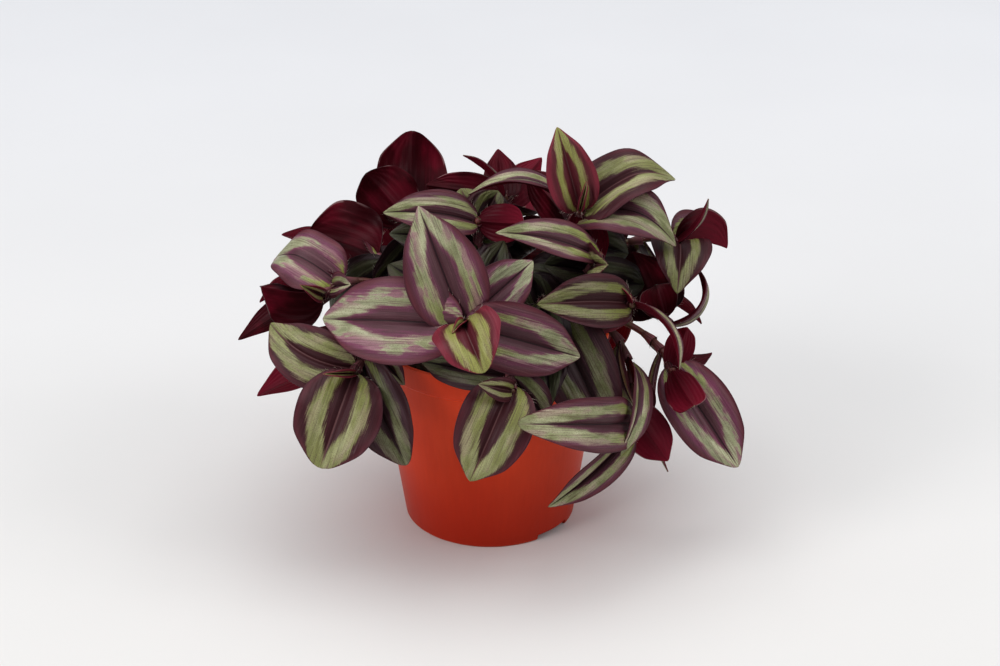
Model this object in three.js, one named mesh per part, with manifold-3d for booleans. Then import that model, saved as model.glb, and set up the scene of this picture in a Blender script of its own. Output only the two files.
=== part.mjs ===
// A potted inch-plant: striped leaves on arching stems that root in a round plastic nursery pot.
// Millimetres, +Z up. The origin is the centre of the pot's foot on the surface that it stands on,
// and the plant's front faces -Y.

import * as THREE from 'three';
import { mergeVertices } from 'three/addons/utils/BufferGeometryUtils.js';
import Module from 'manifold-3d';

const wasm = await Module();
wasm.setup();

// Pot
const POT_HEIGHT = 102;
const POT_SIDES = 36;
const FOOT_RADIUS = 43;
const FOOT_WIDTH = 2;
const FLOOR_HEIGHT = 4;
const FLOOR_THICKNESS = 1.4;
const WALL = 1.3;
const COLLAR_HEIGHT = 13;
const COLLAR_STEP = 1.4;
const WALL_TOP_RADIUS = 56.2;
const RIM_RADIUS = 59.6;
const BEVEL = 0.5;
const NOTCH_ANGLES = [-42, 138];
const NOTCH_WIDTH = 21;
const NOTCH_HEIGHT = 3;
const DRAIN_HOLES = 6;
const DRAIN_RADIUS = 3.5;
const DRAIN_CIRCLE = 27;
const DRAIN_SIDES = 10;

// Soil
const SEAT_GAP = 0.3;
const SOIL_TOP = 93;
const SOIL_HOLE_DEPTH = 15;
const SOIL_RINGS = [0, 16, 31, 46];
const SOIL_SIDES = 20;
const SOIL_BUMP = 1.6;
const SOIL_CROWN = 1.5;
const SOIL_EDGE_DROP = 1.2;
const SOIL_SHOULDER_DROP = 1.6;
const SOIL_SLACK = 0.25;

// Shoots
const STEM_RADIUS = 1.9;
const STEM_TIP_RADIUS = 1.4;
const STEM_SIDES = 5;
const STEM_STEPS = 5;
const STEM_STRAIGHT = 4;
const STEM_TIP = 1.2;
const HOLE_CLEARANCE = 0.6;
const BLADE_THICKNESS = 0.8;
const BLADE_ROWS = [0, 0.18, 0.47, 0.78];
const BLUNT_BLADE_ROWS = [0, 0.18, 0.45, 0.72, 0.93];
const BLADE_ACROSS = [-1, -0.5, 0, 0.5, 1];
const NARROW_ACROSS = [-1, 0, 1];
const NARROW_WIDTH = 30;
const BLADE_BULGE = 0.07;
const OUTLINE = { rise: 0.45, fall: 0.68, bluntFall: 0.4, neck: 0.13 };
const HOOK_FROM = 0.6;
const CLEARANCE = 1.5;
const STEM_CLEARANCE = 0.5;
const OWN_STEM_CLEARANCE = 0.3;
const FREE_FROM = 0.18;
const KEEP_OUT_SIDES = 24;
const LIP_ROOM = 4;
const SOIL_ROOM = 3;
const BEND_STEP = 5;
const BEND_LIFT = 11;
const BEND_SIDE = 7;

// The shoots that the front shows are laid out as they look from a spot in front of the plant and
// EYE_HEIGHT_ANGLE above the table: [right, up, out] are millimetres from AIM, with out towards the eye.
const AIM = new THREE.Vector3(5.2, 5.7, 95.4);
const EYE_DISTANCE = 1110;
const EYE_HEIGHT_ANGLE = 26;
const eyeTilt = THREE.MathUtils.degToRad(EYE_HEIGHT_ANGLE);
const TOWARDS_EYE = new THREE.Vector3(0, -Math.cos(eyeTilt), Math.sin(eyeTilt));
const EYE_UP = new THREE.Vector3(0, Math.sin(eyeTilt), Math.cos(eyeTilt));

// name, root [x, y] in the soil, lift (height of the stem's first bend above the soil),
// bend and end of the stem as [right, up, out], and the leaves:
// [place along the stem, tip right, tip up, tip out, width, arch, turn, fold, sway, twist, hook, blunt]
// Arch, sway and hook are shares of the leaf's length; turn, fold and twist are degrees. A turn of 0
// shows the upper face to the eye, 90 shows the edge and 180 the underside. Blunt is 1 for a round
// leaf and below 0 for a sharp one.
const FRONT_SHOOTS = [
  ['shoot_front', [-7, -22], 30, [-20, 4, 58], [-18, 4, 90], [
    [0.95, -88.5, 7, 62, 42, 0.1, 4, 10, 0, 0, 0, 0.1],
    [0.9, -40.5, 63, 76, 39, 0.08, 0, 12, 0, 0, 0, -0.6],
    [0.92, 40, -12, 72, 34, 0.12, 0, 14],
    [1, -8, -20, 110, 34, 0.2, 0, 22, 0, 0, 0, 0.6],
    [1, -27, -4, 101, 8, 0.1, 30, 60],
    [0.78, 16.5, 36, 64, 27, 0.08, 0, 12],
    [0.7, -56, 34, 40, 26, 0.12, 20, 12],
    [0.62, 2, 46, 40, 24, 0.12, 0, 12],
  ]],
  ['shoot_left', [-26, -24], 24, [-66, -4, 46], [-73, -20, 60], [
    [0.96, -114.5, 5, 50, 30, 0.1, 6, 8, -0.12],
    [1, -90, -67.5, 72, 41, 0.12, 0, 8, 0, 0, 0, 0.8],
    [0.88, -46.5, -66, 62, 29, 0.1, 10, 10, 0, 0, 0, 0.6],
    [1, -88.5, -20.5, 74, 8, 0.1, 0, 60],
    [0.84, -121.5, -31.5, 38, 24, 0.1, 150, 24],
    [0.8, -62, -6, 64, 14, 0.1, 0, 20],
    [0.74, -50, -24, 62, 14, 0.1, 0, 20],
    [0.5, -52, 14, 24, 26, 0.14, 30, 12],
    [0.66, -110, -6, 14, 18, 0.08, 168, 10],
    [0.6, -98, -16, 30, 18, 0.12, 150, 14],
  ]],
  ['shoot_far_left', [-36, -4], 30, [-72, 34, 20], [-89, 19, 34], [
    [0.84, -112, 43, 20, 34, 0.12, 28, 6, 0, 0, 0.26, 0.8],
    [0.98, -119.5, 23, 54, 36, 0.06, -140, 40],
    [0.9, -131, -3.5, 10, 17, 0.12, 160, 14],
    [1, -100, 24, 58, 9, 0.1, 0, 34],
    [0.8, -122.5, 15, 8, 20, 0.1, 110, 20],
    [0.56, -42, 40, 0, 26, 0.14, 40, 12],
    [0.46, -62, -2, 8, 24, 0.14, 60, 12],
    [0.9, -74.5, 24, 42, 14, 0.1, -20, 14],
  ]],
  ['shoot_back_left', [-28, 12], 34, [-60, 30, 14], [-61, 38, 4], [
    [1, -96, 49, -4, 44, 0.16, 160, 8, 0, 0, 0, 0.9],
    [0.84, -88, 26, -58, 28, 0.16, 120, 10],
    [0.86, -38, 56, 16, 24, 0.15, 120, 10],
    [0.66, -86, 8, -12, 30, 0.12, 20, 12],
  ]],
  ['shoot_top_left', [-14, 16], 40, [-44, 44, 6], [-47, 58, -4], [
    [0.97, -67, 80, 2, 32, 0.1, 176, 10, 0, 0, 0.1, 0.6],
    [0.93, -43.5, 100, -8, 38, 0.12, 180, 10, 0, 0, 0.1, 0.8],
    [0.86, -76, 60, -56, 26, 0.2, 120, 10],
    [0.9, -24, 70, -48, 26, 0.2, 130, 10],
  ]],
  ['shoot_upper_middle', [-8, -4], 46, [-10, 46, 10], [-11, 56, 34], [
    [0.97, -58.5, 60, 40, 24, 0.14, 22, 10, 0, 0, 0, -0.3],
    [1, 6, 54, 58, 20, 0.1, 180, 14],
    [0.86, -1, 71, 20, 24, 0.1, 0, 12],
    [0.8, -20, 73, 16, 24, 0.1, 10, 12],
    [0.74, 14, 62, 20, 22, 0.1, 0, 12],
    [0.66, -52, 48, 4, 28, 0.12, 10, 12],
  ]],
  ['shoot_centre', [24, -12], 32, [50, 30, 20], [50, 39, 46], [
    [0.96, -3.5, 50, 54, 23, 0.1, 38, 10, 0, 0, 0, -0.4],
    [0.8, 64, 33, 60, 22, 0.1, 0, 18],
    [0.7, 22, 34, 40, 26, 0.1, 20, 12],
    [0.62, 72, 24, 6, 24, 0.1, 0, 12],
    [0.46, 12, 28, 14, 30, 0.1, 10, 12],
    [0.4, 48, 14, 10, 28, 0.1, 0, 12],
  ]],
  ['shoot_top', [14, -4], 46, [42, 58, 6], [40, 61.5, 38], [
    [0.97, 28.5, 103, 46, 26, 0.08, 0, 22, 0, 0, 0, -0.3],
    [0.92, 84, 85, 32, 36, 0.12, -38, 10, 0, 0, 0.28, 0.2],
    [0.84, -13.5, 60, 48, 24, 0.22, 70, 16],
    [0.8, 88, 50, 34, 33, 0.24, -36, 6, 0, 0, 0.2, 0.3],
    [1, 43.5, 76, 48, 7, 0.1, 0, 60],
    [0.7, 12, 82, -6, 24, 0.1, 160, 10],
    [0.56, 62, 40, -4, 30, 0.1, 0, 12],
    [0.98, 49, 44, 56, 18, 0.14, 180, 16],
  ]],
  ['shoot_back_top', [0, 18], 46, [2, 60, -4], [2, 68, 8], [
    [0.96, -37, 74, 10, 20, 0.1, 170, 14],
    [1, -1, 92, -4, 20, 0.1, 180, 14],
    [1, -18.5, 88.5, 6, 14, 0.12, 86, 20],
    [0.92, 25, 93.5, 0, 20, 0.1, 180, 14],
    [0.86, 16, 78, -44, 26, 0.2, 120, 10],
    [0.82, -16, 74, -42, 26, 0.2, 120, 10],
    [0.5, 22, 36, -2, 26, 0.14, 30, 12],
    [0.42, -26, 34, -10, 26, 0.14, 30, 12],
  ]],
  ['shoot_right_upper', [28, 20], 36, [80, 54, -6], [90, 44, 2], [
    [0.98, 88.5, 19.5, 30, 31, 0.26, 0, 14],
    [0.94, 113.5, 42.5, -10, 34, 0.1, -90, 62],
    [0.92, 103.5, 71, 6, 10, 0.1, 85, 20],
    [0.88, 74, 46, -22, 16, 0.1, 90, 10],
    [0.7, 98, 40, -54, 26, 0.15, 110, 10],
    [0.5, 62, 24, -14, 32, 0.1, 180, 12],
    [0.6, 42, 46, -16, 30, 0.1, 180, 12],
  ]],
  ['shoot_middle', [14, -24], 26, [22, 14, 30], [22, 16, 56], [
    [1, 36, 7, 68, 8, 0.1, 0, 50],
    [0.92, 56, -52, 44, 38, 0.12, 0, 10],
    [0.84, 30, -44, 66, 26, 0.1, 0, 10],
    [0.76, 14, 30, 44, 24, 0.1, 0, 12],
    [0.66, 40, 2, 30, 28, 0.12, 0, 12],
  ]],
  ['shoot_centre_right', [34, -18], 26, [62, 20, 26], [66, 14, 50], [
    [0.95, 14, 14, 66, 27, 0.12, 10, 10],
    [0.9, 38, 1, 58, 18, 0.12, 0, 14],
    [0.97, 89.5, -18.5, 58, 16, 0.2, -78, 16],
    [1, 51.5, 27, 56, 10, 0.1, 80, 20],
  ]],
  ['shoot_right', [38, 10], 22, [80, 16, 6], [85, 4, 20], [
    [1, 96.5, 35.5, 18, 22, 0.34, 80, 8],
    [0.84, 66, 42, 10, 36, 0.12, 180, 10],
    [0.9, 78, 24, 34, 20, 0.1, 180, 12],
  ]],
  ['shoot_lower_middle', [2, -44], 16, [5, -8, 66], [6, -29, 84], [
    [1, -11, -25.5, 98, 12, 0.12, 0, 18],
    [0.95, -15, -74, 82, 36, 0.2, 0, 12],
    [0.86, -39.5, -14, 60, 20, 0.1, 0, 10],
    [0.9, 24, -40, 68, 22, 0.12, 0, 16],
    [0.76, 36, -22, 60, 22, 0.1, 0, 12],
  ]],
  ['shoot_lower_right', [40, -14], 26, [76, 10, 30], [64, -56, 50], [
    [0.72, 60, -61, 70, 18, 0.14, -50, 24],
    [0.97, 24, -87, 62, 20, 0.1, -20, 36],
    [0.9, 84, -64, 48, 23, 0.12, 176, 12],
    [0.94, 5, -50, 94, 27, 0.16, 0, 10, 0, 0, 0.1, 0.9],
    [0.82, 75, -42, 40, 18, 0.1, 176, 14],
    [0.62, 76, -38, 54, 16, 0.1, 60, 16],
  ]],
  ['shoot_low_right', [42, 2], 20, [78, 6, 16], [86, -18.5, 38], [
    [0.96, 119, -67, 34, 33, 0.08, 0, 10, 0, 0, 0, 0.3],
    [1, 93, 0, 56, 15, 0.1, 176, 16],
    [1, 99.5, -42, 70, 19, 0.12, 180, 16],
    [0.86, 84, -69.5, 24, 11, 0.1, 80, 20],
    [0.78, 106, -10, 6, 22, 0.12, 100, 12],
  ]],
];

// The shoots at the back and inside are laid out by their heading from the pot's axis, in degrees from
// +X towards +Y: name, heading, root radius, bend and end of the stem as [radius, height], lift of the
// axis that the last leaves stand around in degrees, and leaf length.
const BACK_SHOOTS = [
  ['shoot_back_right', 24, 43, [62, 120], [80, 104], 32, 44],
  ['shoot_back_right_low', 54, 42, [62, 118], [78, 100], 32, 46],
  ['shoot_back', 88, 42, [60, 122], [77, 106], 32, 47],
  ['shoot_back_low_left', 120, 42, [62, 118], [78, 98], 32, 46],
  ['shoot_back_far_left', 156, 42, [62, 120], [80, 106], 32, 44],
  ['shoot_inner_right', 8, 20, [30, 106], [36, 116], 66, 38],
  ['shoot_inner_back', 76, 30, [38, 120], [48, 134], 55, 42],
];
const BACK_STEM_RISE = 0.5;
const BACK_LEAF_STEP = 0.07;
const BACK_LEAF_TURN = 137.5;
const BACK_LEAF_RISE = [70, 42, 24, 10, -4];
const BACK_LEAF_SHAPE = 0.6;
const BACK_LEAF_SIZES = [0.86, 1.14];
const BACK_LEAF_ARCHES = [0.1, 0.2];
const BACK_LEAF_TURNS = [-15, 15];
const BACK_LEAF_FOLDS = [8, 18];
const BACK_LEAF_SWAYS = [-0.05, 0.05];
const BACK_LEAF_TWISTS = [-10, 10];
const BACK_BUD = { size: 0.5, shape: 0.4, fold: 40 };
const RANDOM_SEED = 41;

const POT_COLOUR = 0xb8432a;
const SOIL_COLOUR = 0x3a2a20;
const LEAF_COLOUR = 0x6f7a4e;

const potMaterial = new THREE.MeshStandardMaterial({ color: POT_COLOUR, roughness: 0.45, metalness: 0 });
const soilMaterial = new THREE.MeshStandardMaterial({ color: SOIL_COLOUR, roughness: 0.95, metalness: 0 });
const leafMaterial = new THREE.MeshStandardMaterial({ color: LEAF_COLOUR, roughness: 0.5, metalness: 0 });

// Even draws from 0 to 1 that are the same each time
let randomState = RANDOM_SEED;
function random() {
  randomState = (randomState * 1664525 + 1013904223) % 4294967296;
  return randomState / 4294967296;
}

function between([low, high]) {
  return low + (high - low) * random();
}

function degrees(angle) {
  return THREE.MathUtils.degToRad(angle);
}

// Solids for joining and cutting

function toSolid(geometry) {
  const bare = geometry.clone();
  bare.deleteAttribute('normal');
  bare.deleteAttribute('uv');
  const merged = mergeVertices(bare, 1e-4);
  return new wasm.Manifold(new wasm.Mesh({
    numProp: 3,
    vertProperties: new Float32Array(merged.attributes.position.array),
    triVerts: new Uint32Array(merged.index.array),
  }));
}

function toMesh(name, solid, material) {
  const { vertProperties, triVerts } = solid.getMesh();
  const geometry = new THREE.BufferGeometry();
  geometry.setAttribute('position', new THREE.BufferAttribute(vertProperties, 3));
  geometry.setIndex(new THREE.BufferAttribute(triVerts, 1));
  geometry.computeVertexNormals();
  const mesh = new THREE.Mesh(geometry, material);
  mesh.name = name;
  return mesh;
}

function solidFromFaces(points, faces) {
  const geometry = new THREE.BufferGeometry();
  const numbers = points.flatMap((point) => point.toArray());
  geometry.setAttribute('position', new THREE.Float32BufferAttribute(numbers, 3));
  geometry.setIndex(faces);
  return toSolid(geometry);
}

// One body from solids that overlap. A hollow that they seal is filled.
function joined(solids) {
  const bodies = wasm.Manifold.union(solids).decompose();
  return bodies.reduce((largest, body) => (body.volume() > largest.volume() ? body : largest));
}

function turned(profile, sides) {
  const points = profile.map(([radius, height]) => new THREE.Vector2(radius, height));
  return toSolid(new THREE.LatheGeometry(points, sides).rotateX(Math.PI / 2));
}

// Pot: a thin moulded shell with a collar, a raised floor and a notched foot ring

function wallRadius(height) {
  const share = height / (POT_HEIGHT - COLLAR_HEIGHT);
  return THREE.MathUtils.lerp(FOOT_RADIUS, WALL_TOP_RADIUS, share);
}

function potProfile() {
  const collarBottom = POT_HEIGHT - COLLAR_HEIGHT;
  const floorTop = FLOOR_HEIGHT + FLOOR_THICKNESS;
  const footInside = FOOT_RADIUS - FOOT_WIDTH - BEVEL;
  return [
    [0, FLOOR_HEIGHT],
    [footInside, FLOOR_HEIGHT],
    [footInside, 0],
    [FOOT_RADIUS - BEVEL, 0],
    [wallRadius(2 * BEVEL), 2 * BEVEL],
    [WALL_TOP_RADIUS, collarBottom - BEVEL],
    [WALL_TOP_RADIUS + COLLAR_STEP, collarBottom + BEVEL],
    [RIM_RADIUS, POT_HEIGHT - 2 * BEVEL],
    [RIM_RADIUS - BEVEL, POT_HEIGHT],
    [RIM_RADIUS - WALL, POT_HEIGHT],
    [RIM_RADIUS - WALL - BEVEL, POT_HEIGHT - 2 * BEVEL],
    [WALL_TOP_RADIUS + COLLAR_STEP - WALL, collarBottom + WALL],
    [WALL_TOP_RADIUS - WALL, collarBottom - BEVEL],
    [wallRadius(floorTop) - WALL, floorTop],
    [0, floorTop],
  ];
}

function cutter(width, depth, height, radius, angle, base) {
  const box = new THREE.BoxGeometry(width, depth, height);
  box.translate(radius, 0, base + height / 2);
  return toSolid(box.rotateZ(degrees(angle)));
}

function makePot() {
  const notches = NOTCH_ANGLES.map((angle) => (
    cutter(3 * FOOT_WIDTH, NOTCH_WIDTH, NOTCH_HEIGHT + 1, FOOT_RADIUS - FOOT_WIDTH, angle, -1)));
  const drains = [];
  for (let i = 0; i <= DRAIN_HOLES; i++) {
    const hole = new THREE.CylinderGeometry(DRAIN_RADIUS, DRAIN_RADIUS, 4 * FLOOR_THICKNESS, DRAIN_SIDES);
    hole.rotateX(Math.PI / 2);
    hole.translate(i === DRAIN_HOLES ? 0 : DRAIN_CIRCLE, 0, FLOOR_HEIGHT + FLOOR_THICKNESS / 2);
    drains.push(toSolid(hole.rotateZ(degrees(i * 360 / DRAIN_HOLES))));
  }
  return turned(potProfile(), POT_SIDES).subtract(wasm.Manifold.union([...notches, ...drains]));
}

// Soil: fills the pot to just under the lip, with an uneven top and a plain hole for each stem

function soilTopRings() {
  const rings = SOIL_RINGS.map((radius, i) => {
    const count = i === 0 ? 1 : SOIL_SIDES;
    return Array.from({ length: count }, (_, j) => {
      const angle = 2 * Math.PI * j / SOIL_SIDES;
      const crown = SOIL_CROWN * (1 - radius / RIM_RADIUS);
      const height = SOIL_TOP + crown + SOIL_BUMP * (random() - 0.5);
      return new THREE.Vector3(radius * Math.cos(angle), radius * Math.sin(angle), height);
    });
  });
  return rings;
}

function soilSideRings() {
  const collarBottom = POT_HEIGHT - COLLAR_HEIGHT;
  const inner = WALL + SEAT_GAP + SOIL_SLACK;
  const floorTop = FLOOR_HEIGHT + FLOOR_THICKNESS + SEAT_GAP;
  const side = [
    [WALL_TOP_RADIUS + COLLAR_STEP - inner, SOIL_TOP - SOIL_EDGE_DROP],
    [WALL_TOP_RADIUS - inner, collarBottom - SOIL_SHOULDER_DROP],
    [wallRadius(floorTop) - inner, floorTop],
  ];
  return side.map(([radius, height]) => Array.from({ length: SOIL_SIDES }, (_, j) => {
    const angle = 2 * Math.PI * j / SOIL_SIDES;
    return new THREE.Vector3(radius * Math.cos(angle), radius * Math.sin(angle), height);
  }));
}

function makeSoil(holes) {
  const rings = [...soilTopRings(), ...soilSideRings()];
  const points = [];
  const starts = rings.map((ring) => points.push(...ring) - ring.length);
  const faces = [];
  for (let j = 0; j < SOIL_SIDES; j++) {
    const next = (j + 1) % SOIL_SIDES;
    faces.push(starts[0], starts[1] + j, starts[1] + next);
    for (let i = 1; i < rings.length - 1; i++) {
      faces.push(starts[i] + j, starts[i + 1] + j, starts[i + 1] + next);
      faces.push(starts[i] + j, starts[i + 1] + next, starts[i] + next);
    }
  }
  const last = starts[rings.length - 1];
  for (let j = 1; j < SOIL_SIDES - 1; j++) faces.push(last, last + j + 1, last + j);
  return solidFromFaces(points, faces).subtract(wasm.Manifold.union(holes));
}

// Stems: a straight root in the soil, then one smooth curve out to the last leaves

function seen([right, up, out]) {
  const near = (EYE_DISTANCE - out) / EYE_DISTANCE;
  return AIM.clone()
    .add(new THREE.Vector3(right * near, 0, 0))
    .addScaledVector(EYE_UP, up * near)
    .addScaledVector(TOWARDS_EYE, out);
}

function stemCurve(root, lift, bend, end) {
  const start = new THREE.Vector3(root[0], root[1], SOIL_TOP + STEM_STRAIGHT);
  const rise = start.clone().add(new THREE.Vector3(0, 0, lift));
  return new THREE.CubicBezierCurve3(start, rise, bend, end);
}

// A closed tube through the points, with a ring of corners square to its run at each
function tube(points, radii, sides) {
  const corners = [];
  const tangent = (i) => points[Math.min(i + 1, points.length - 1)].clone()
    .sub(points[Math.max(i - 1, 0)]).normalize();
  let side = new THREE.Vector3(1, 0, 0);
  points.forEach((point, i) => {
    const along = tangent(i);
    side = side.clone().addScaledVector(along, -side.dot(along)).normalize();
    const other = along.clone().cross(side);
    for (let j = 0; j < sides; j++) {
      const angle = 2 * Math.PI * j / sides;
      corners.push(point.clone()
        .addScaledVector(side, radii[i] * Math.cos(angle))
        .addScaledVector(other, radii[i] * Math.sin(angle)));
    }
  });
  const faces = [];
  for (let i = 0; i < points.length - 1; i++) {
    for (let j = 0; j < sides; j++) {
      const [a, b] = [i * sides + j, i * sides + (j + 1) % sides];
      faces.push(a, b, b + sides, a, b + sides, a + sides);
    }
  }
  const last = (points.length - 1) * sides;
  for (let j = 1; j < sides - 1; j++) {
    faces.push(0, j + 1, j, last, last + j, last + j + 1);
  }
  return solidFromFaces(corners, faces);
}

function stemPoints(curve) {
  const foot = curve.v0.clone().setZ(SOIL_TOP - SOIL_HOLE_DEPTH + SEAT_GAP);
  const tip = curve.v3.clone().addScaledVector(curve.getTangent(1), STEM_TIP);
  return [foot, ...curve.getPoints(STEM_STEPS), tip];
}

// The middle of the stem at a share of the way from its root to its end
function alongStem(curve, share) {
  const points = curve.getPoints(STEM_STEPS);
  const step = Math.min(Math.floor(share * STEM_STEPS), STEM_STEPS - 1);
  return points[step].clone().lerp(points[step + 1], share * STEM_STEPS - step);
}

function stemSolid(curve, extra) {
  const points = stemPoints(curve);
  const radii = points.map((_, i) => (
    THREE.MathUtils.lerp(STEM_RADIUS, STEM_TIP_RADIUS, i / (points.length - 1)) + extra));
  return tube(points, radii, STEM_SIDES);
}

function stemHole(curve) {
  const bottom = curve.v0.clone().setZ(SOIL_TOP - SOIL_HOLE_DEPTH);
  const top = curve.v0.clone().setZ(POT_HEIGHT);
  const radius = STEM_RADIUS + HOLE_CLEARANCE;
  return tube([bottom, top], [radius, radius], STEM_SIDES);
}

// Leaves: an arched blade, widest before its middle, with a sunk midrib between two rounded halves

function bladeHalfWidth(leaf, v) {
  const fall = THREE.MathUtils.lerp(OUTLINE.fall, OUTLINE.bluntFall, leaf.blunt);
  const widest = OUTLINE.rise / (OUTLINE.rise + fall);
  const outline = (v / widest) ** OUTLINE.rise * ((1 - v) / (1 - widest)) ** fall;
  return 0.5 * leaf.width * Math.max(outline, OUTLINE.neck * (1 - v));
}

// The blade's own directions at v, from 0 at the stem to 1 at the tip
function bladeFrame(leaf, v) {
  const chord = leaf.tip.clone().sub(leaf.base);
  const length = chord.length();
  const along = chord.clone().divideScalar(length);
  const level = along.clone().cross(leaf.facing).normalize();
  const turn = degrees(leaf.turn);
  const face = level.clone().cross(along).multiplyScalar(Math.cos(turn))
    .addScaledVector(level, Math.sin(turn));
  const side = along.clone().cross(face);
  const bow = 4 * v * (1 - v);
  const slope = 4 * (1 - 2 * v);
  const droop = Math.max(0, (v - HOOK_FROM) / (1 - HOOK_FROM));
  const centre = leaf.base.clone().addScaledVector(chord, v)
    .addScaledVector(face, length * (leaf.arch * bow - leaf.hook * droop * droop))
    .addScaledVector(side, length * leaf.sway * bow);
  const run = chord.clone()
    .addScaledVector(face, length * (leaf.arch * slope - leaf.hook * 2 * droop / (1 - HOOK_FROM)))
    .addScaledVector(side, length * leaf.sway * slope).normalize();
  const twist = degrees(leaf.twist) * v;
  const across = side.clone().multiplyScalar(Math.cos(twist)).addScaledVector(face, Math.sin(twist));
  across.addScaledVector(run, -across.dot(run)).normalize();
  return { centre, across, outward: across.clone().cross(run) };
}

function bladePoint(leaf, u, v, lift) {
  const { centre, across, outward } = bladeFrame(leaf, v);
  const halfWidth = bladeHalfWidth(leaf, v);
  const fold = degrees(leaf.fold);
  const reach = Math.abs(u) * halfWidth;
  const bulge = BLADE_BULGE * halfWidth * 4 * Math.abs(u) * (1 - Math.abs(u));
  const rise = reach * Math.sin(fold) + bulge * Math.cos(fold) + lift * Math.cos(fold * Math.abs(u));
  const spread = reach * Math.cos(fold) - bulge * Math.sin(fold) - lift * Math.sin(fold * Math.abs(u));
  return centre.addScaledVector(across, Math.sign(u) * spread).addScaledVector(outward, rise);
}

function bladeSolid(leaf, thickness, firstRow) {
  const rows = (leaf.blunt > 0.5 ? BLUNT_BLADE_ROWS : BLADE_ROWS).filter((v) => v >= firstRow);
  const places = leaf.width < NARROW_WIDTH ? NARROW_ACROSS : BLADE_ACROSS;
  const columns = places.length;
  const points = [];
  for (const v of rows) {
    for (const lift of [thickness / 2, -thickness / 2]) {
      for (const u of places) points.push(bladePoint(leaf, u, v, lift));
    }
  }
  const tipTop = points.push(bladePoint(leaf, 0, 1, thickness / 2)) - 1;
  const tipUnder = points.push(bladePoint(leaf, 0, 1, -thickness / 2)) - 1;
  const at = (row, layer, column) => (row * 2 + layer) * columns + column;
  const faces = [];
  const quad = (a, b, c, d) => faces.push(a, b, c, a, c, d);
  for (let i = 0; i < rows.length - 1; i++) {
    for (let j = 0; j < columns - 1; j++) {
      quad(at(i, 0, j), at(i, 0, j + 1), at(i + 1, 0, j + 1), at(i + 1, 0, j));
      faces.push(at(i, 1, j), at(i + 1, 1, j + 1), at(i, 1, j + 1));
      faces.push(at(i, 1, j), at(i + 1, 1, j), at(i + 1, 1, j + 1));
    }
    quad(at(i, 0, 0), at(i + 1, 0, 0), at(i + 1, 1, 0), at(i, 1, 0));
    const edge = columns - 1;
    quad(at(i, 1, edge), at(i + 1, 1, edge), at(i + 1, 0, edge), at(i, 0, edge));
  }
  const end = rows.length - 1;
  for (let j = 0; j < columns - 1; j++) {
    faces.push(at(end, 0, j), at(end, 0, j + 1), tipTop, at(end, 1, j + 1), at(end, 1, j), tipUnder);
    quad(at(0, 0, j + 1), at(0, 0, j), at(0, 1, j), at(0, 1, j + 1));
  }
  quad(at(end, 0, 0), tipTop, tipUnder, at(end, 1, 0));
  quad(at(end, 1, columns - 1), tipUnder, tipTop, at(end, 0, columns - 1));
  return solidFromFaces(points, faces);
}

// A leaf turned about its base, up or down by lift and to one side by swing
function bent(leaf, lift, swing) {
  const chord = leaf.tip.clone().sub(leaf.base);
  const level = chord.clone().cross(leaf.facing).normalize();
  const facing = leaf.facing.clone();
  const tip = chord.clone().applyAxisAngle(level, degrees(lift)).applyAxisAngle(facing, degrees(swing));
  return { ...leaf, tip: tip.add(leaf.base) };
}

// Every way to bend a leaf, the smallest first
const BENDS = [];
for (let i = -BEND_LIFT; i <= BEND_LIFT; i++) {
  for (let j = -BEND_SIDE; j <= BEND_SIDE; j++) BENDS.push([i * BEND_STEP, j * BEND_STEP]);
}
BENDS.sort((a, b) => Math.hypot(a[0], 2 * a[1]) - Math.hypot(b[0], 2 * b[1]));

function meets(solid, others) {
  const box = solid.boundingBox();
  return others.some(({ solid: other, box: near }) => (
    [0, 1, 2].every((axis) => box.min[axis] < near.max[axis] && near.min[axis] < box.max[axis])
      && !solid.intersect(other).isEmpty()));
}

// The space that the pot and the soil need, and that no leaf may enter
function keepOutOfPot() {
  const outer = RIM_RADIUS + CLEARANCE;
  const inner = RIM_RADIUS - LIP_ROOM;
  const floor = SOIL_TOP + SOIL_ROOM;
  const top = POT_HEIGHT + CLEARANCE;
  const side = [[FOOT_RADIUS + CLEARANCE, 0], [outer, POT_HEIGHT - COLLAR_HEIGHT], [outer, top]];
  return turned([[0, 0], ...side, [inner, top], [inner, floor], [0, floor]], KEEP_OUT_SIDES);
}

function obstacle(solid, shoot) {
  return { solid, shoot, box: solid.boundingBox() };
}

// Shoots

function frontShoot([name, root, lift, bend, end, rows]) {
  const curve = stemCurve(root, lift, seen(bend), seen(end));
  const leaves = rows.map((row) => {
    const [at, right, up, out, width, arch, turn, fold, ...bends] = row;
    const [sway = 0, twist = 0, hook = 0, blunt = 0] = bends;
    const base = alongStem(curve, at);
    const tip = seen([right, up, out]);
    return { base, tip, facing: TOWARDS_EYE, width, arch, turn, fold, sway, twist, hook, blunt };
  });
  return { name, curve, leaves };
}

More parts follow.
